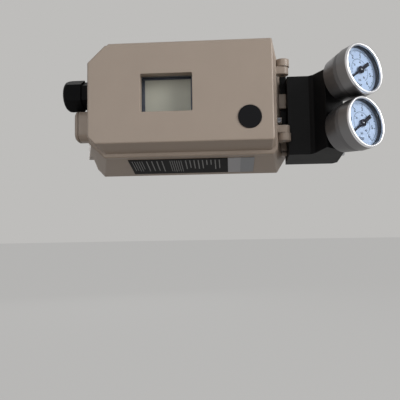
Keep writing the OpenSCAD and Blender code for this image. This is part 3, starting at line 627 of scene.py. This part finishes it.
PAINT = Finish("painted casting", screen(163, 148, 134), 0.45, variation=0.1, bump=0.02,
               worn=screen(190, 180, 166), wear=0.3, edge=1.0, specular=0.3, coat=0.15)
RUBBER = Finish("seal rubber", screen(38, 38, 38), 0.75, wear=0.0, dust=0.1)
PLATE = PlateFinish("plate", screen(18, 18, 19), 0.6, wear=0.1, bright=screen(190, 192, 196),
                    grey=screen(168, 172, 177), specular=0.1)
GLAND = Finish("black polyamide", screen(8, 8, 9), 0.45, worn=screen(36, 36, 38), edge=0.6,
               dust=0.02, specular=0.06)
PANEL = Finish("grey moulding", screen(142, 146, 150), 0.55, worn=screen(170, 172, 174))
DARK = Finish("dark moulding", screen(44, 46, 48), 0.5, worn=screen(85, 86, 88))
BADGE = Finish("badge lacquer", screen(14, 14, 17), 0.34, variation=0.2, wear=0.1, dust=0.0,
               specular=0.1)
KNOB = Finish("blue moulding", screen(60, 80, 120), 0.45, worn=screen(95, 112, 150))
BUTTON = Finish("red moulding", screen(176, 62, 52), 0.35, worn=screen(205, 100, 90))
SWITCH = Finish("ivory moulding", screen(216, 212, 202), 0.45, worn=screen(228, 226, 220))
TERMINAL = Finish("green moulding", screen(72, 122, 88), 0.5, worn=screen(110, 150, 122))
BOARD = Finish("board lacquer", screen(40, 108, 66), 0.35, variation=0.3, blotches=160.0, wear=0.0)
BLOCK = Finish("black anodised", screen(11, 11, 12), 0.5, relief=Relief.BRUSHED, worn=screen(44, 46, 48),
               wear=0.25, edge=0.5, bump=0.012, dust=0.04, specular=0.14)
ALUMINIUM = Finish("milled aluminium", screen(198, 200, 203), 0.38, 1.0, Relief.BRUSHED, wear=0.1)
STEEL = Finish("plain steel", screen(196, 198, 201), 0.32, 1.0, Relief.TURNED, wear=0.1)
ZINC = Finish("zinc plating", screen(112, 114, 118), 0.4, 1.0, Relief.TURNED, variation=0.25, wear=0.1)
UPPER_CASE = GaugeMetal("upper gauge case", screen(112, 111, 112), 0.42, 1.0, Relief.TURNED, wear=0.3,
                        worn=screen(170, 172, 176), variation=0.2, front=screen(84, 88, 94),
                        front_roughness=0.45, front_from=24.0, axis=UPPER_AXIS)
LOWER_CASE = replace(UPPER_CASE, name="lower gauge case", axis=LOWER_AXIS)
UPPER_BEZEL = GaugeMetal("upper gauge bezel", screen(132, 131, 132), 0.36, 1.0, Relief.TURNED, wear=0.2,
                         worn=screen(180, 182, 186), front=screen(240, 241, 244), axis=UPPER_AXIS)
LOWER_BEZEL = replace(UPPER_BEZEL, name="lower gauge bezel", axis=LOWER_AXIS)
BRASS = Finish("machined brass", screen(196, 164, 96), 0.34, 1.0, Relief.TURNED, wear=0.1)
DIAL = Finish("dial lacquer", screen(164, 185, 214), 0.5, variation=0.03, wear=0.0, dust=0.0, bump=0.002)
INK = Finish("dial print", screen(14, 20, 38), 0.7, wear=0.0, dust=0.0, bump=0.002, specular=0.1)
PALE_INK = Finish("pale print", screen(132, 132, 132), 0.5, wear=0.0, dust=0.0, bump=0.002)
WHITE_INK = Finish("white print", screen(214, 216, 216), 0.5, wear=0.0, dust=0.0, bump=0.002)
POINTER = Finish("pointer lacquer", screen(10, 14, 28), 0.6, wear=0.0, dust=0.0, specular=0.08)
SCREEN = ScreenFinish("liquid crystal", screen(194, 192, 176), 0.4, variation=0.05, wear=0.0, dust=0.0,
                      specular=0.1)
CLEAR = GlassFinish("clear glass", screen(246, 248, 250), 0.03, variation=0.05, blotches=60.0, grain=400.0,
                    spread=0.03)

DRESS = {
    PAINT: ("housing_base", "cover_shell"),
    RUBBER: ("cover_gasket", "gland_seal", "port_seals", "window_seal"),
    PLATE: ("rating_plate",),
    GLAND: ("gland_body", "gland_nut"),
    PANEL: ("operating_panel",),
    DARK: ("display_case", "rotary_encoder", "booster_relay"),
    BADGE: ("badge_disc",),
    KNOB: ("rotary_knob",),
    BUTTON: ("init_button",),
    SWITCH: ("mode_switch",),
    TERMINAL: ("terminal_block",),
    BOARD: ("circuit_board",),
    BLOCK: ("gauge_bracket",),
    ALUMINIUM: ("manifold_plate", "pressure_regulator", "window_retainer", "ip_converter"),
    ZINC: ("earth_screw",),
    STEEL: ("hinge_pins", "panel_screws", "terminal_screws", "encoder_shaft",
            "lock_keeper", "cover_lock", "travel_shaft", "travel_lever", "lever_nut",
            "follower_pin", "follower_nut", "bracket_screws", "retainer_screws"),
    UPPER_CASE: ("upper_case",),
    LOWER_CASE: ("lower_case",),
    UPPER_BEZEL: ("upper_bezel",),
    LOWER_BEZEL: ("lower_bezel",),
    BRASS: ("restrictor", "shaft_bush", "upper_tube", "lower_tube", "upper_sector", "lower_sector"),
    DIAL: ("upper_dial", "lower_dial"),
    POINTER: ("upper_pointer", "lower_pointer"),
    SCREEN: ("display_glass",),
    CLEAR: ("window_glass", "upper_lens", "lower_lens"),
}


def dress_solids() -> None:
    """Gives every solid of the frame its finish."""
    for finish, names in DRESS.items():
        for name in names:
            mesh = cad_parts[name].data
            mesh.materials.clear()
            mesh.materials.append(finish.material())
        LOG.info("%s on %d solids", finish.name, len(names))


def linked(name: str, data: bpy.types.ID) -> bpy.types.Object:
    """Makes an object and links it to the scene.

    Args:
        name: the object's name.
        data: its mesh, curve, lamp or camera.

    Returns:
        The object.
    """
    made = bpy.data.objects.new(name, data)
    bpy.context.scene.collection.objects.link(made)
    return made


def plain_mesh(holder: bpy.types.Object) -> bpy.types.Mesh:
    """Turns an object of type or with a node tree into a plain mesh.

    Args:
        holder: the object, which is removed.

    Returns:
        The mesh.
    """
    graph = bpy.context.evaluated_depsgraph_get()
    mesh = bpy.data.meshes.new_from_object(holder.evaluated_get(graph), depsgraph=graph)
    holder.modifiers.clear()
    bpy.data.objects.remove(holder)
    return mesh


class ShapeTree(NodeGroup):
    """A geometry node tree that repeats a block."""

    KIND = "GeometryNodeTree"

    def __init__(self, name: str, inputs: dict[str, str]) -> None:
        """Makes the empty tree.

        Args:
            name: the tree's name.
            inputs: socket type of each input by name, beside those that every tree has.
        """
        common = {"Count": INTEGER, "Length": FLOAT, "Width": FLOAT, "Height": FLOAT,
                  "Material": "NodeSocketMaterial"}
        super().__init__(name, common | inputs, {"Geometry": "NodeSocketGeometry"})

    def close(self, spot: Socket, size: Socket, **settings: Socket) -> None:
        """Puts a block on every point and ends the tree with real geometry and its material.

        Args:
            spot: place of each block.
            size: size of the block along X, Y and Z.
            settings: Rotation or Scale of each block.
        """
        tree = self.tree
        points = tree.fill(tree.add("GeometryNodePoints"), Count=self.given["Count"], Position=spot)
        block = tree.fill(tree.add("GeometryNodeMeshCube"), Size=size)
        placed = tree.fill(tree.add("GeometryNodeInstanceOnPoints"), Points=points[0],
                           Instance=block["Mesh"], **settings)
        real = tree.chain("GeometryNodeRealizeInstances", placed[0])
        dressed = tree.fill(tree.add("GeometryNodeSetMaterial"), Geometry=real,
                            Material=self.given["Material"])
        tree.fill(self.result, Geometry=dressed[0])

    def make(self, finish: Finish, **values: object) -> bpy.types.Mesh:
        """Runs the tree.

        Args:
            finish: finish of the blocks.
            values: values for the inputs, by name with underscores.

        Returns:
            The plain mesh.
        """
        holder = linked(self.group.name, bpy.data.meshes.new(self.group.name))
        modifier = holder.modifiers.new("shape", "NODES")
        modifier.node_group = self.group
        places = {item.name: item.identifier for item in self.group.interface.items_tree
                  if item.in_out == "INPUT"}
        modifier[places["Material"]] = finish.material()
        for label, value in values.items():
            modifier[places[label.replace("_", " ")]] = value
        return plain_mesh(holder)


def tick_ring() -> ShapeTree:
    """Builds the tree of ticks along an arc, for printed scales.

    Returns:
        The tree, with its count, angles and sizes as inputs.
    """
    shape = ShapeTree("tick ring", {"First angle": FLOAT, "Sweep": FLOAT, "Radius": FLOAT})
    tree, given = shape.tree, shape.given
    index = tree.add("GeometryNodeInputIndex").outputs[0]
    share = tree.maths("DIVIDE", index, tree.maths("SUBTRACT", given["Count"], 1.0))
    angle = tree.maths("ADD", given["First angle"], tree.maths("MULTIPLY", share, given["Sweep"]))
    spot = tree.vector(tree.maths("MULTIPLY", given["Radius"], tree.maths("COSINE", angle)),
                       tree.maths("MULTIPLY", given["Radius"], tree.maths("SINE", angle)))
    turn = tree.chain("FunctionNodeEulerToRotation", tree.vector(0.0, 0.0, angle))
    shape.close(spot, tree.vector(given["Length"], given["Width"], given["Height"]), Rotation=turn)
    return shape


def rule_row() -> ShapeTree:
    """Builds the tree of blank rules in a row, with lengths that vary by a fixed seed.

    Returns:
        The tree, with its count, step and sizes as inputs.
    """
    # Places of the float sockets on a Random Value node, which has others of the same names
    least, most, result = 2, 3, 1
    shape = ShapeTree("rule row", {"Step": FLOAT, "Shortest": FLOAT, "Seed": INTEGER})
    tree, given = shape.tree, shape.given
    index = tree.add("GeometryNodeInputIndex").outputs[0]
    random = tree.add("FunctionNodeRandomValue", data_type="FLOAT")
    tree.feed(random.inputs[least], given["Shortest"])
    tree.feed(random.inputs[most], 1.0)
    tree.feed(random.inputs["Seed"], given["Seed"])
    share = random.outputs[result]
    shift = tree.maths("MULTIPLY", tree.maths("SUBTRACT", share, 1.0), 0.5)
    spot = tree.vector(tree.maths("MULTIPLY", index, given["Step"]),
                       tree.maths("MULTIPLY", shift, given["Length"]))
    shape.close(spot, tree.vector(given["Width"], given["Length"], given["Height"]),
                Scale=tree.vector(1.0, share, 1.0))
    return shape


TICKS = tick_ring()
RULES = rule_row()


# Thickness of printed ticks and rules, and half the thickness of printed figures, in millimetres
PRINT_THICK = 0.03
FIGURE_THICK = 0.01
# Share of a figure's height by which its strokes are made bolder
FIGURE_BOLD = 0.02
# Points for each arc of a figure
FIGURE_ARCS = 3

Part = tuple[bpy.types.Mesh, Matrix]


def numeral(text: str, height: float, finish: Finish) -> bpy.types.Mesh:
    """Makes a centred flat figure as a plain mesh.

    Args:
        text: the figure.
        height: height of the type in millimetres.
        finish: finish of the print.

    Returns:
        The mesh, in the plane of X and Y.
    """
    curve = bpy.data.curves.new(f"figure {text}", "FONT")
    curve.body = text
    curve.size = height * MM
    curve.extrude = FIGURE_THICK * MM
    curve.offset = FIGURE_BOLD * height * MM
    curve.align_x = "CENTER"
    curve.align_y = "CENTER"
    curve.resolution_u = FIGURE_ARCS
    mesh = plain_mesh(linked(f"figure {text}", curve))
    mesh.materials.clear()
    mesh.materials.append(finish.material())
    return mesh


def joined(name: str, parts: Sequence[Part]) -> bpy.types.Object:
    """Puts meshes into one object whose place is in its mesh.

    Args:
        name: the object's name.
        parts: meshes, each with the matrix that places it.

    Returns:
        The object, linked to the scene.
    """
    objects = []
    for mesh, place in parts:
        mesh.transform(place)
        objects.append(linked(name, mesh))
    with bpy.context.temp_override(active_object=objects[0], selected_editable_objects=objects):
        bpy.ops.object.join()
    objects[0].name = name
    return objects[0]


def turned_piece(name: str, profile: Sequence[tuple[float, float]], finish: Finish,
                 place: Matrix) -> bpy.types.Object:
    """Turns a profile about Z into a closed piece.

    Args:
        name: the piece's name.
        profile: radius and height of each point in millimetres, from the middle of the top outwards.
        finish: finish of the piece.
        place: matrix that places it.

    Returns:
        The piece, linked to the scene.
    """
    sides = 32
    top, rings = profile[0], profile[1:]
    points = [Vector((0, 0, top[1])) * MM]
    for radius, height in rings:
        for side in range(sides):
            angle = 2 * math.pi * side / sides
            points.append(Vector((radius * math.cos(angle), radius * math.sin(angle), height)) * MM)
    faces = [(0, 1 + side, 1 + (side + 1) % sides) for side in range(sides)]
    for ring in range(len(rings) - 1):
        low, high = 1 + ring * sides, 1 + (ring + 1) * sides
        faces += [(low + side, high + side, high + (side + 1) % sides, low + (side + 1) % sides)
                  for side in range(sides)]
    last = 1 + (len(rings) - 1) * sides
    faces.append(tuple(last + sides - 1 - side for side in range(sides)))
    mesh = bpy.data.meshes.new(name)
    mesh.from_pydata(points, [], faces)
    mesh.transform(place)
    mesh.materials.append(finish.material())
    mesh.shade_smooth()
    return linked(name, mesh)


def settle(piece: bpy.types.Object, body: str) -> None:
    """Hangs a finished piece on its body.

    Args:
        piece: the piece.
        body: body that it moves with.
    """
    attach(piece, body)
    LOG.info("%s rides on %s", piece.name, body)


@dataclass(frozen=True)
class TickRing:
    """A ring of printed ticks, with their length, width and outer radius in millimetres."""

    count: int
    length: float
    width: float
    outer: float

    def mesh(self, finish: Finish, first: float, sweep: float) -> bpy.types.Mesh:
        """Makes the ticks.

        Args:
            finish: finish of the print.
            first: angle of the first tick from the right, in degrees.
            sweep: turn from the first to the last tick.

        Returns:
            The mesh, in the plane of X and Y.
        """
        return TICKS.make(finish, Count=self.count, First_angle=math.radians(first),
                          Sweep=math.radians(sweep), Radius=(self.outer - self.length / 2) * MM,
                          Length=self.length * MM, Width=self.width * MM, Height=PRINT_THICK * MM)


@dataclass(frozen=True)
class ScaleText:
    """Figures from 0 to the last along a scale and the unit in its gap, with sizes in millimetres."""

    last: int
    step: int
    height: float
    radius: float
    unit: str
    unit_height: float
    unit_radius: float


@dataclass
class GaugeFace:
    """Printed scale on one gauge's dial, and the cap of its pointer.

    Attributes:
        side: upper or lower.
        axis: axis of the gauge.
        dial_front: distance of the dial's front from the socket, in millimetres.
        print_lift: height of the print's middle above the dial.
        first: angle of the first tick from the right, in degrees.
        sweep: turn from the first to the last tick, in degrees.
        rings: ticks of the outer and of the inner scale, each with its arc.
        texts: figures and units of the outer and of the inner scale.
        cap_lift: height of the pointer's face above the dial, in millimetres.
        cap_profile: radius and height of the cap's points, from the middle of its top outwards.
    """

    side: str
    axis: GaugeAxis
    dial_front: float = 25.2
    print_lift: float = 0.015
    first: float = 214.0
    sweep: float = -270.0
    rings: tuple[TickRing, ...] = (
        TickRing(count=61, length=1.2, width=0.2, outer=16.4),
        TickRing(count=13, length=1.9, width=0.36, outer=16.4),
        TickRing(count=7, length=2.6, width=0.55, outer=16.4),
        TickRing(count=181, length=0.22, width=0.6, outer=16.5),
        TickRing(count=181, length=0.18, width=0.35, outer=9.4),
        TickRing(count=41, length=0.8, width=0.18, outer=9.4),
        TickRing(count=9, length=1.2, width=0.3, outer=9.4))
    texts: tuple[ScaleText, ...] = (
        ScaleText(last=6, step=1, height=4.2, radius=11.8, unit="bar", unit_height=4.2, unit_radius=12.4),
        ScaleText(last=80, step=20, height=2.3, radius=6.7, unit="psi", unit_height=2.8, unit_radius=8.2))
    cap_lift: float = 1.8
    cap_profile: tuple[tuple[float, float], ...] = (
        (0.0, 0.5), (0.3, 0.45), (0.5, 0.3), (0.6, 0.12), (0.6, 0.0))

    def place(self, lift: float) -> Matrix:
        """Returns the matrix of the plane that lies a lift in millimetres above the dial."""
        return self.axis.place(self.dial_front + lift)

    def upright(self, text: str, height: float, radius: float, angle: float) -> Part:
        """Returns upright type with its place, from its height and its centre's radius and angle."""
        spot = Matrix.Rotation(math.radians(angle), 3, "Z") @ Vector((radius * MM, 0, 0))
        return numeral(text, height, INK), self.place(self.print_lift) @ Matrix.Translation(spot)

    def writing(self, text: ScaleText) -> list[Part]:
        """Makes the figures and the unit of one scale.

        Args:
            text: the figures and the unit.

        Returns:
            The meshes with their places.
        """
        parts = []
        for figure in range(0, text.last + 1, text.step):
            angle = self.first + self.sweep * figure / text.last
            parts.append(self.upright(str(figure), text.height, text.radius, angle))
        gap = self.first + (360.0 + self.sweep) / 2
        return parts + [self.upright(text.unit, text.unit_height, text.unit_radius, gap)]

    def dress(self) -> None:
        """Makes both scales and the turned cap, and hangs them on the housing and on the needle."""
        flat = self.place(self.print_lift)
        parts = [(ring.mesh(INK, self.first, self.sweep), flat) for ring in self.rings]
        for text in self.texts:
            parts += self.writing(text)
        settle(joined(f"{self.side}_scale", parts), "housing")
        cap = turned_piece(f"{self.side}_pointer_cap", self.cap_profile, STEEL, self.place(self.cap_lift))
        settle(cap, f"{self.side}_needle")


@dataclass(frozen=True)
class RuleGroup:
    """A row of blank rules from its left on X, in millimetres, and the shortest share of the length."""

    left: float
    count: int
    step: float
    length: float
    width: float
    shortest: float


@dataclass
class PlatePrint:
    """Blank rules on the dark field of the plate under the base.

    Attributes:
        split_line: place on Y and Z where the sloping underside begins, in millimetres.
        depth: depth of the sloping underside along Y.
        fall: fall of the underside over that depth.
        front: distance of the rules from the split line along the slope.
        thick: thickness of the plate.
        lift: distance of the rules' middle from the plate.
        groups: rows of rules from left to right.
    """

    split_line: tuple[float, float] = (-44.0, -49.0)
    depth: float = 41.0
    fall: float = 9.5
    front: float = 4.8
    thick: float = 0.6
    lift: float = 0.01
    groups: tuple[RuleGroup, ...] = (
        RuleGroup(left=-44.5, count=5, step=2.1, length=24.0, width=0.55, shortest=0.55),
        RuleGroup(left=-32.0, count=4, step=4.4, length=27.0, width=0.9, shortest=0.85),
        RuleGroup(left=-12.0, count=6, step=1.9, length=27.0, width=0.6, shortest=0.92),
        RuleGroup(left=1.5, count=9, step=3.6, length=22.0, width=0.9, shortest=0.35))

    def place(self, x: float, along: float) -> Matrix:
        """Gives a place on the plate's lower face.

        Args:
            x: place on X in millimetres.
            along: distance from the split line along the slope.

        Returns:
            The matrix from a sheet in X and Y to that place.
        """
        root = Matrix.Translation((0, self.split_line[0] * MM, self.split_line[1] * MM))
        slope = Matrix.Rotation(-math.atan2(self.fall, self.depth), 4, "X")
        return root @ slope @ Matrix.Translation((x * MM, along * MM, -(self.thick + self.lift) * MM))

    def dress(self) -> None:
        """Makes the groups of rules and hangs them on the housing."""
        parts = []
        for seed, group in enumerate(self.groups):
            rules = RULES.make(PALE_INK, Count=group.count, Step=group.step * MM, Length=group.length * MM,
                               Width=group.width * MM, Height=PRINT_THICK * MM, Shortest=group.shortest,
                               Seed=seed)
            parts.append((rules, self.place(group.left, self.front + group.length / 2)))
        settle(joined("plate_rules", parts), "housing")


@dataclass(frozen=True)
class ControlRing:
    """Ticks around a control, placed on X and Z in millimetres, with their sweep in degrees."""

    spot: tuple[float, float]
    ticks: TickRing
    sweep: float


@dataclass
class PanelPrint:
    """Generic print on the operating panel under the cover, with sizes in millimetres.

    Attributes:
        front: place of the panel's front on Y.
        lift: distance of the print's middle from what carries it.
        rings: rings of ticks around the knob and the restrictor, which begin at the right.
        terminals: place of the lowest number on X and Z.
        terminal_front: place of the terminal block's front on Y.
        pitch: distance between terminals.
        count: number of terminals.
        number_height: height of the terminals' numbers.
    """

    front: float = -41.0
    lift: float = 0.02
    rings: tuple[ControlRing, ...] = (
        ControlRing((38.0, 13.0), TickRing(count=24, length=1.6, width=0.4, outer=12.0), sweep=345.0),
        ControlRing((60.0, -15.0), TickRing(count=7, length=1.6, width=0.4, outer=9.2), sweep=90.0))
    terminals: tuple[float, float] = (-65.4, -10.5)
    terminal_front: float = -50.0
    pitch: float = 7.0
    count: int = 6
    number_height: float = 3.4

    def place(self, x: float, y: float, z: float) -> Matrix:
        """Returns the matrix from a sheet in X and Y to a place on a face towards the front."""
        spot = Vector((x, y - self.lift, z)) * MM
        return Matrix.Translation(spot) @ Matrix.Rotation(math.pi / 2, 4, "X")

    def dress(self) -> None:
        """Makes the ticks and the terminals' numbers, 1 at the top, and hangs them on the housing."""
        parts = []
        for ring in self.rings:
            x, z = ring.spot
            parts.append((ring.ticks.mesh(WHITE_INK, 0.0, ring.sweep), self.place(x, self.front, z)))
        for step in range(self.count):
            number = numeral(str(self.count - step), self.number_height, WHITE_INK)
            height = self.terminals[1] + step * self.pitch
            parts.append((number, self.place(self.terminals[0], self.terminal_front, height)))
        settle(joined("panel_print", parts), "housing")


@dataclass(frozen=True)
class Lamp:
    """A square soft lamp, with its place and its side in metres and its power in watts."""

    name: str
    spot: tuple[float, float, float]
    size: float
    power: float

    def hang(self, aim: Vector) -> None:
        """Adds the lamp to the scene.

        Args:
            aim: point that it looks at, in metres.
        """
        data = bpy.data.lights.new(self.name, "AREA")
        data.size = self.size
        data.energy = self.power
        turn = (aim - Vector(self.spot)).to_track_quat("-Z", "Y")
        linked(self.name, data).matrix_world = Matrix.Translation(self.spot) @ turn.to_matrix().to_4x4()


@dataclass
class Studio:
    """Floor, light and camera.

    Attributes:
        floor_drop: height of the floor in millimetres.
        floor_reach: radius of the round floor in metres.
        floor_sides: number of sides of its rim.
        floor_share: share of the floor's colour that is even, the rest being lit and shaded.
        pale: colour of the floor and of the room behind the part.
        bounce: colour of the floor for the light that it throws back at the part.
        low_light: colour of the room's light from below.
        high_light: colour of the room's light from above.
        light_rise: heights on a unit sphere between which the one turns into the other.
        camera_spot: place of the camera in metres.
        camera_turns: turns of the camera about Z, X and its own axis, in degrees.
        lens: focal length in millimetres.
        sensor: width of the sensor in millimetres.
        lamps: soft lamps around the part.
        aim: point that the lamps look at, in metres.
    """

    floor_drop: float = -330.0
    floor_reach: float = 25.0
    floor_sides: int = 96
    floor_share: float = 0.85
    pale: Rgb = screen(190, 189, 187)
    bounce: Rgb = screen(160, 154, 148)
    low_light: Rgb = screen(40, 37, 36)
    high_light: Rgb = screen(146, 150, 158)
    light_rise: tuple[float, float] = (-0.35, 0.75)
    camera_spot: tuple[float, float, float] = (0.0378, -0.4605, -0.1149)
    camera_turns: tuple[float, float, float] = (3.32, 94.10, -0.92)
    lens: float = 45.0
    sensor: float = 36.0
    lamps: tuple[Lamp, ...] = (
        Lamp("key", (1.12, -0.62, 0.3), size=0.7, power=12.6),
        Lamp("front", (-0.1, -1.1, 0.35), size=1.0, power=2.6),
        Lamp("fill", (-0.65, -1.05, -0.12), size=0.9, power=1.9),
        Lamp("back", (-0.4, 1.2, 0.45), size=1.0, power=3.5))
    aim: tuple[float, float, float] = (0.02, -0.03, 0.0)

    def camera(self) -> None:
        """Places the camera at the photograph's angle."""
        data = bpy.data.cameras.new("camera")
        data.lens = self.lens
        data.sensor_width = self.sensor
        place = Matrix.Translation(self.camera_spot)
        for turn, axis in zip(self.camera_turns, "ZXZ"):
            place = place @ Matrix.Rotation(math.radians(turn), 4, axis)
        holder = linked("camera", data)
        holder.matrix_world = place
        bpy.context.scene.camera = holder

    def floor(self) -> None:
        """Lays a plain pale floor below the part."""
        turns = [2 * math.pi * side / self.floor_sides for side in range(self.floor_sides)]
        rim = [(self.floor_reach * math.cos(turn), self.floor_reach * math.sin(turn), self.floor_drop * MM)
               for turn in turns]
        mesh = bpy.data.meshes.new("floor")
        mesh.from_pydata(rim, [], [tuple(range(self.floor_sides))])
        mesh.materials.append(self.paper())
        plane = linked("floor", mesh)

    def seen(self, tree: Tree) -> Socket:
        """Marks the rays that show the background: straight on, in metal and through glass.

        Args:
            tree: tree of the floor's material or of the world.

        Returns:
            The mask.
        """
        path = tree.add("ShaderNodeLightPath").outputs
        direct = tree.maths("MAXIMUM", path["Is Camera Ray"], path["Is Transmission Ray"])
        return tree.maths("MAXIMUM", direct, path["Is Glossy Ray"])

    def paper(self) -> bpy.types.Material:
        """Makes the floor's pale paper, which keeps the part's shadow and is clear from below.

        Returns:
            The material.
        """
        made = bpy.data.materials.new("floor paper")
        tree = empty_tree(made)
        seen = self.seen(tree)
        matt = tree.chain("ShaderNodeBsdfDiffuse", tree.blend(seen, rgba(self.bounce), rgba(self.pale)))
        even = tree.chain("ShaderNodeEmission", rgba(self.pale))
        top = tree.shaders(tree.maths("MULTIPLY", seen, self.floor_share), matt, even)
        below = tree.add("ShaderNodeNewGeometry").outputs["Backfacing"]
        tree.surface(tree.shaders(below, top, tree.chain("ShaderNodeBsdfTransparent")))
        return made

    def sky(self) -> None:
        """Makes a soft room light, pale behind the part and brighter from above."""
        world = bpy.data.worlds.new("room light")
        tree = empty_tree(world)
        height = tree.split(tree.add("ShaderNodeTexCoord").outputs["Generated"], Coordinate.Z)
        rise = tree.ramp(height, *self.light_rise)
        around = tree.blend(rise, rgba(self.low_light), rgba(self.high_light))
        colour = tree.blend(self.seen(tree), around, rgba(self.pale))
        tree.fill(tree.add("ShaderNodeOutputWorld"), Surface=tree.chain("ShaderNodeBackground", colour))
        bpy.context.scene.world = world

    def build(self) -> None:
        """Sets up everything around the part."""
        bpy.context.scene.view_settings.view_transform = "Standard"
        self.camera()
        self.floor()
        self.sky()
        for lamp in self.lamps:
            lamp.hang(Vector(self.aim))


def main() -> None:
    """Dresses the solids, adds the fine pieces and sets up the room."""
    logging.basicConfig(level=logging.INFO, format="%(message)s")
    dress_solids()
    GaugeFace("upper", UPPER_AXIS).dress()
    GaugeFace("lower", LOWER_AXIS).dress()
    PlatePrint().dress()
    PanelPrint().dress()
    Studio().build()


if __name__ == "__main__":
    main()
